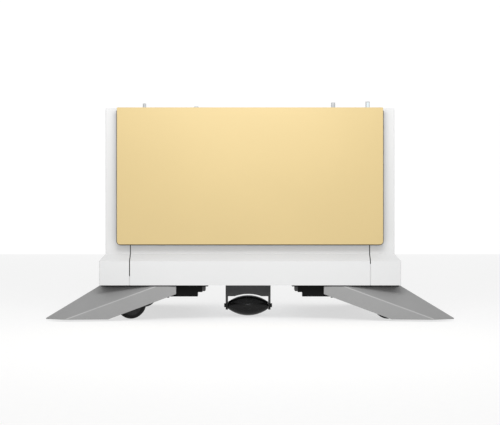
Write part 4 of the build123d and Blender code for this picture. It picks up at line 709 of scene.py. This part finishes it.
def frame_screws(material):
    """Screws of the mains inlet and of the platen's rear edge."""
    low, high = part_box("mains_panel")
    middle = (low.z + high.z) / 2
    places = [(low.x + offset, high.y, middle) for offset in (0.006, 0.044)]
    screws("mains_inlet_screws", places, (0, 1, 0), material, radius=0.0022)
    low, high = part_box("platen")
    end_inset, edge_inset = 0.02, 0.008
    columns = row(low.x + end_inset, high.x - end_inset, 9)
    places = [(x, high.y - edge_inset, high.z) for x in columns]
    screws("platen_screws", places, (0, 0, 1), material, radius=0.0025)


def seam_shade_gaskets(material):
    """Black rubber strips in the front seams, just behind the covers' faces; their black is painted
    shade that keeps the seams dark.
    """
    low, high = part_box("side_cover_right")
    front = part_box("front_cover")[1].x
    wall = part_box("top_cover")[0].y
    near_edge, far_edge = front + 0.0001, front + 0.0039
    bevel_low, bevel_high, top = low.z + 0.104, low.z + 0.134, high.z - 0.006
    starts = ((-1, 0.0402), (1, 0.0932))        # above the tongue that closes each seam's foot
    sunk, shoulder, depth = 0.0006, 0.0011, 0.0022
    half = (far_edge - near_edge) / 2
    section = ((-half, depth), (-half, shoulder), (0, sunk), (half, shoulder), (half, depth))
    bm = bmesh.new()
    for side, start in starts:
        path = ((low.y, low.z + start), (low.y, bevel_low), (wall, bevel_high), (wall, top))
        middle = side * (near_edge + far_edge) / 2
        rings = []
        for y, z in path:
            rings.append([Vector((middle + x, y + back, z)) for x, back in section])
        skin(bm, rings)
    finish_mesh("front_seam_shade_gaskets", bm, material, "cabinet")


def door_shadow_seal(material):
    """Black lip seal behind the door's rim, down both sides and across the bottom; its black is
    painted shadow, where the door shades the cabinet.
    """
    low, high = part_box("front_door")
    back, wall = high.y + 0.0002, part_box("top_cover")[0].y - 0.0016
    corner, reach, top, steps = 0.014, 0.0036, high.z - 0.013, 8
    section = (
        (-0.004, back), (0.0006, back), (reach, back + 0.003), (reach, back + 0.008),
        (reach * 0.6, wall - 0.004), (reach * 0.2, wall), (-0.001, wall - 0.0008),
        (-0.004, back + 0.006),
    )
    path = [(Vector((low.x, 0, top)), Vector((-1, 0, 0)))]
    for side, first in ((-1, math.pi), (1, 1.5 * math.pi)):
        centre = Vector((side * (high.x - corner), 0, low.z + corner))
        for step in range(steps + 1):
            angle = first + math.pi / 2 * step / steps
            out = Vector((math.cos(angle), 0, math.sin(angle)))
            path.append((centre + out * corner, out))
    path.append((Vector((high.x, 0, top)), Vector((1, 0, 0))))
    rings = []
    for place, out in path:
        rings.append([place + out * along + Vector((0, y, 0)) for along, y in section])
    bm = bmesh.new()
    skin(bm, rings)
    finish_mesh("door_lip_shadow_seal", bm, material, "door")


def fit_all():
    """Small fittings that the CAD model leaves out."""
    steel = brushed("screw_steel", (0.50, 0.50, 0.52), 0.3, pitch=2500.0)
    rubber = ground_rubber("belt_rubber", (0.012, 0.012, 0.012))
    disc = moulded("disc_black", (0.026, 0.026, 0.027), shine=0.25)
    # Near-black for the seam strips and the door seal: painted shade in the seams and painted
    # shadow around the door.
    seal = moulded("seal_black_painted_shade", (0.004, 0.004, 0.004), 0.6, shine=0.1, wear=0)
    cover_screws(steel)
    toothed_belt(rubber)
    caster_bolts(steel)
    clamp_screws(moulded("screw_black", (0.02, 0.02, 0.02), 0.35, shine=0.3, wear=0.5))
    for corner in CORNERS:
        disc_ribs(corner, disc)
    door_buffers(rubber)
    seam_shade_gaskets(seal)
    door_shadow_seal(seal)
    beacon_strip(clear_lens("beacon_lens", (0.70, 0.78, 0.80)))
    head_levers(moulded("lever_grey", (0.30, 0.31, 0.33), 0.4))
    blank_plate(brushed("plate_steel", (0.62, 0.62, 0.64), 0.34))
    frame_screws(steel)


# --- Studio ------------------------------------------------------------------
def stage_sheet(name, profile, half, glow):
    """Pale, faintly glowing sheet that follows a side profile across the studio."""
    bm = bmesh.new()
    rows = [[bm.verts.new((x, y, z)) for x in (-half, half)] for y, z in profile]
    for lower, upper in zip(rows, rows[1:]):
        bm.faces.new((lower[0], lower[1], upper[1], upper[0])).smooth = True
    mesh_data = bpy.data.meshes.new(name)
    bm.to_mesh(mesh_data)
    bm.free()
    sheet = bpy.data.objects.new(name, mesh_data)
    bpy.context.scene.collection.objects.link(sheet)
    surface = Surface(name, 0.9, shine=0.0)
    grain = surface.remap(surface.noise(40.0, detail=5.0), *FULL)
    surface.colour(surface.blend(grain, (0.37, 0.37, 0.37), (0.39, 0.39, 0.39)))
    surface.constant("Emission Color", (1.0, 1.0, 1.0, 1.0))
    surface.constant("Emission Strength", glow)
    mesh_data.materials.append(surface.material)


def floor_and_backdrop():
    """Pale floor, and a backdrop that rises in a wide bend far behind the plotter."""
    front, bend_start, bend, top, half, steps = -9.0, 6.5, 2.5, 9.0, 14.0, 12
    stage_sheet("studio_floor", [(front, 0.0), (bend_start, 0.0)], half, glow=0.63)
    curve = []
    for step in range(steps + 1):
        angle = math.pi / 2 * step / steps
        curve.append((bend_start + bend * math.sin(angle), bend - bend * math.cos(angle)))
    stage_sheet("studio_backdrop", [*curve, (bend_start + bend, top)], half, glow=0.74)


def area_light(name, place, target, size, power):
    """Soft rectangular light aimed at a point."""
    data = bpy.data.lights.new(name, "AREA")
    data.shape = "RECTANGLE"
    data.size, data.size_y = size
    data.energy = power
    light = bpy.data.objects.new(name, data)
    light.location = place
    light.rotation_euler = (Vector(target) - Vector(place)).to_track_quat("-Z", "Y").to_euler()
    bpy.context.scene.collection.objects.link(light)


def light_studio():
    """White surroundings, a soft key above the door and two lights further out in front."""
    world = bpy.data.worlds.new("studio")
    world.use_nodes = True
    background = world.node_tree.nodes["Background"]
    background.inputs["Color"].default_value = (1.0, 1.0, 1.0, 1.0)
    background.inputs["Strength"].default_value = 0.62
    bpy.context.scene.world = world
    area_light("key", (0.0, -1.5, 1.5), (0.0, -0.386, 0.75), size=(1.2, 0.5), power=12.0)
    area_light("front_high", (0.0, -3.2, 2.7), (0.0, -0.35, 0.3), size=(2.0, 0.8), power=15.0)
    area_light("front", (0.0, -5.2, 1.3), (0.0, 0.0, 0.2), size=(1.5, 0.12), power=16.0)
    bpy.context.scene.view_settings.view_transform = "Standard"


def add_camera():
    """Camera square to the front, a little below half the plotter's height."""
    data = bpy.data.cameras.new("camera")
    data.lens = 72.0
    data.sensor_width = 36.0
    camera = bpy.data.objects.new("camera", data)
    camera.location = (0.0, -4.680, 0.4654)
    camera.rotation_euler = (math.pi / 2, 0.0, 0.0)
    bpy.context.scene.collection.objects.link(camera)
    bpy.context.scene.camera = camera


paint_outside()
paint_inside()
fit_all()
floor_and_backdrop()
light_studio()
add_camera()
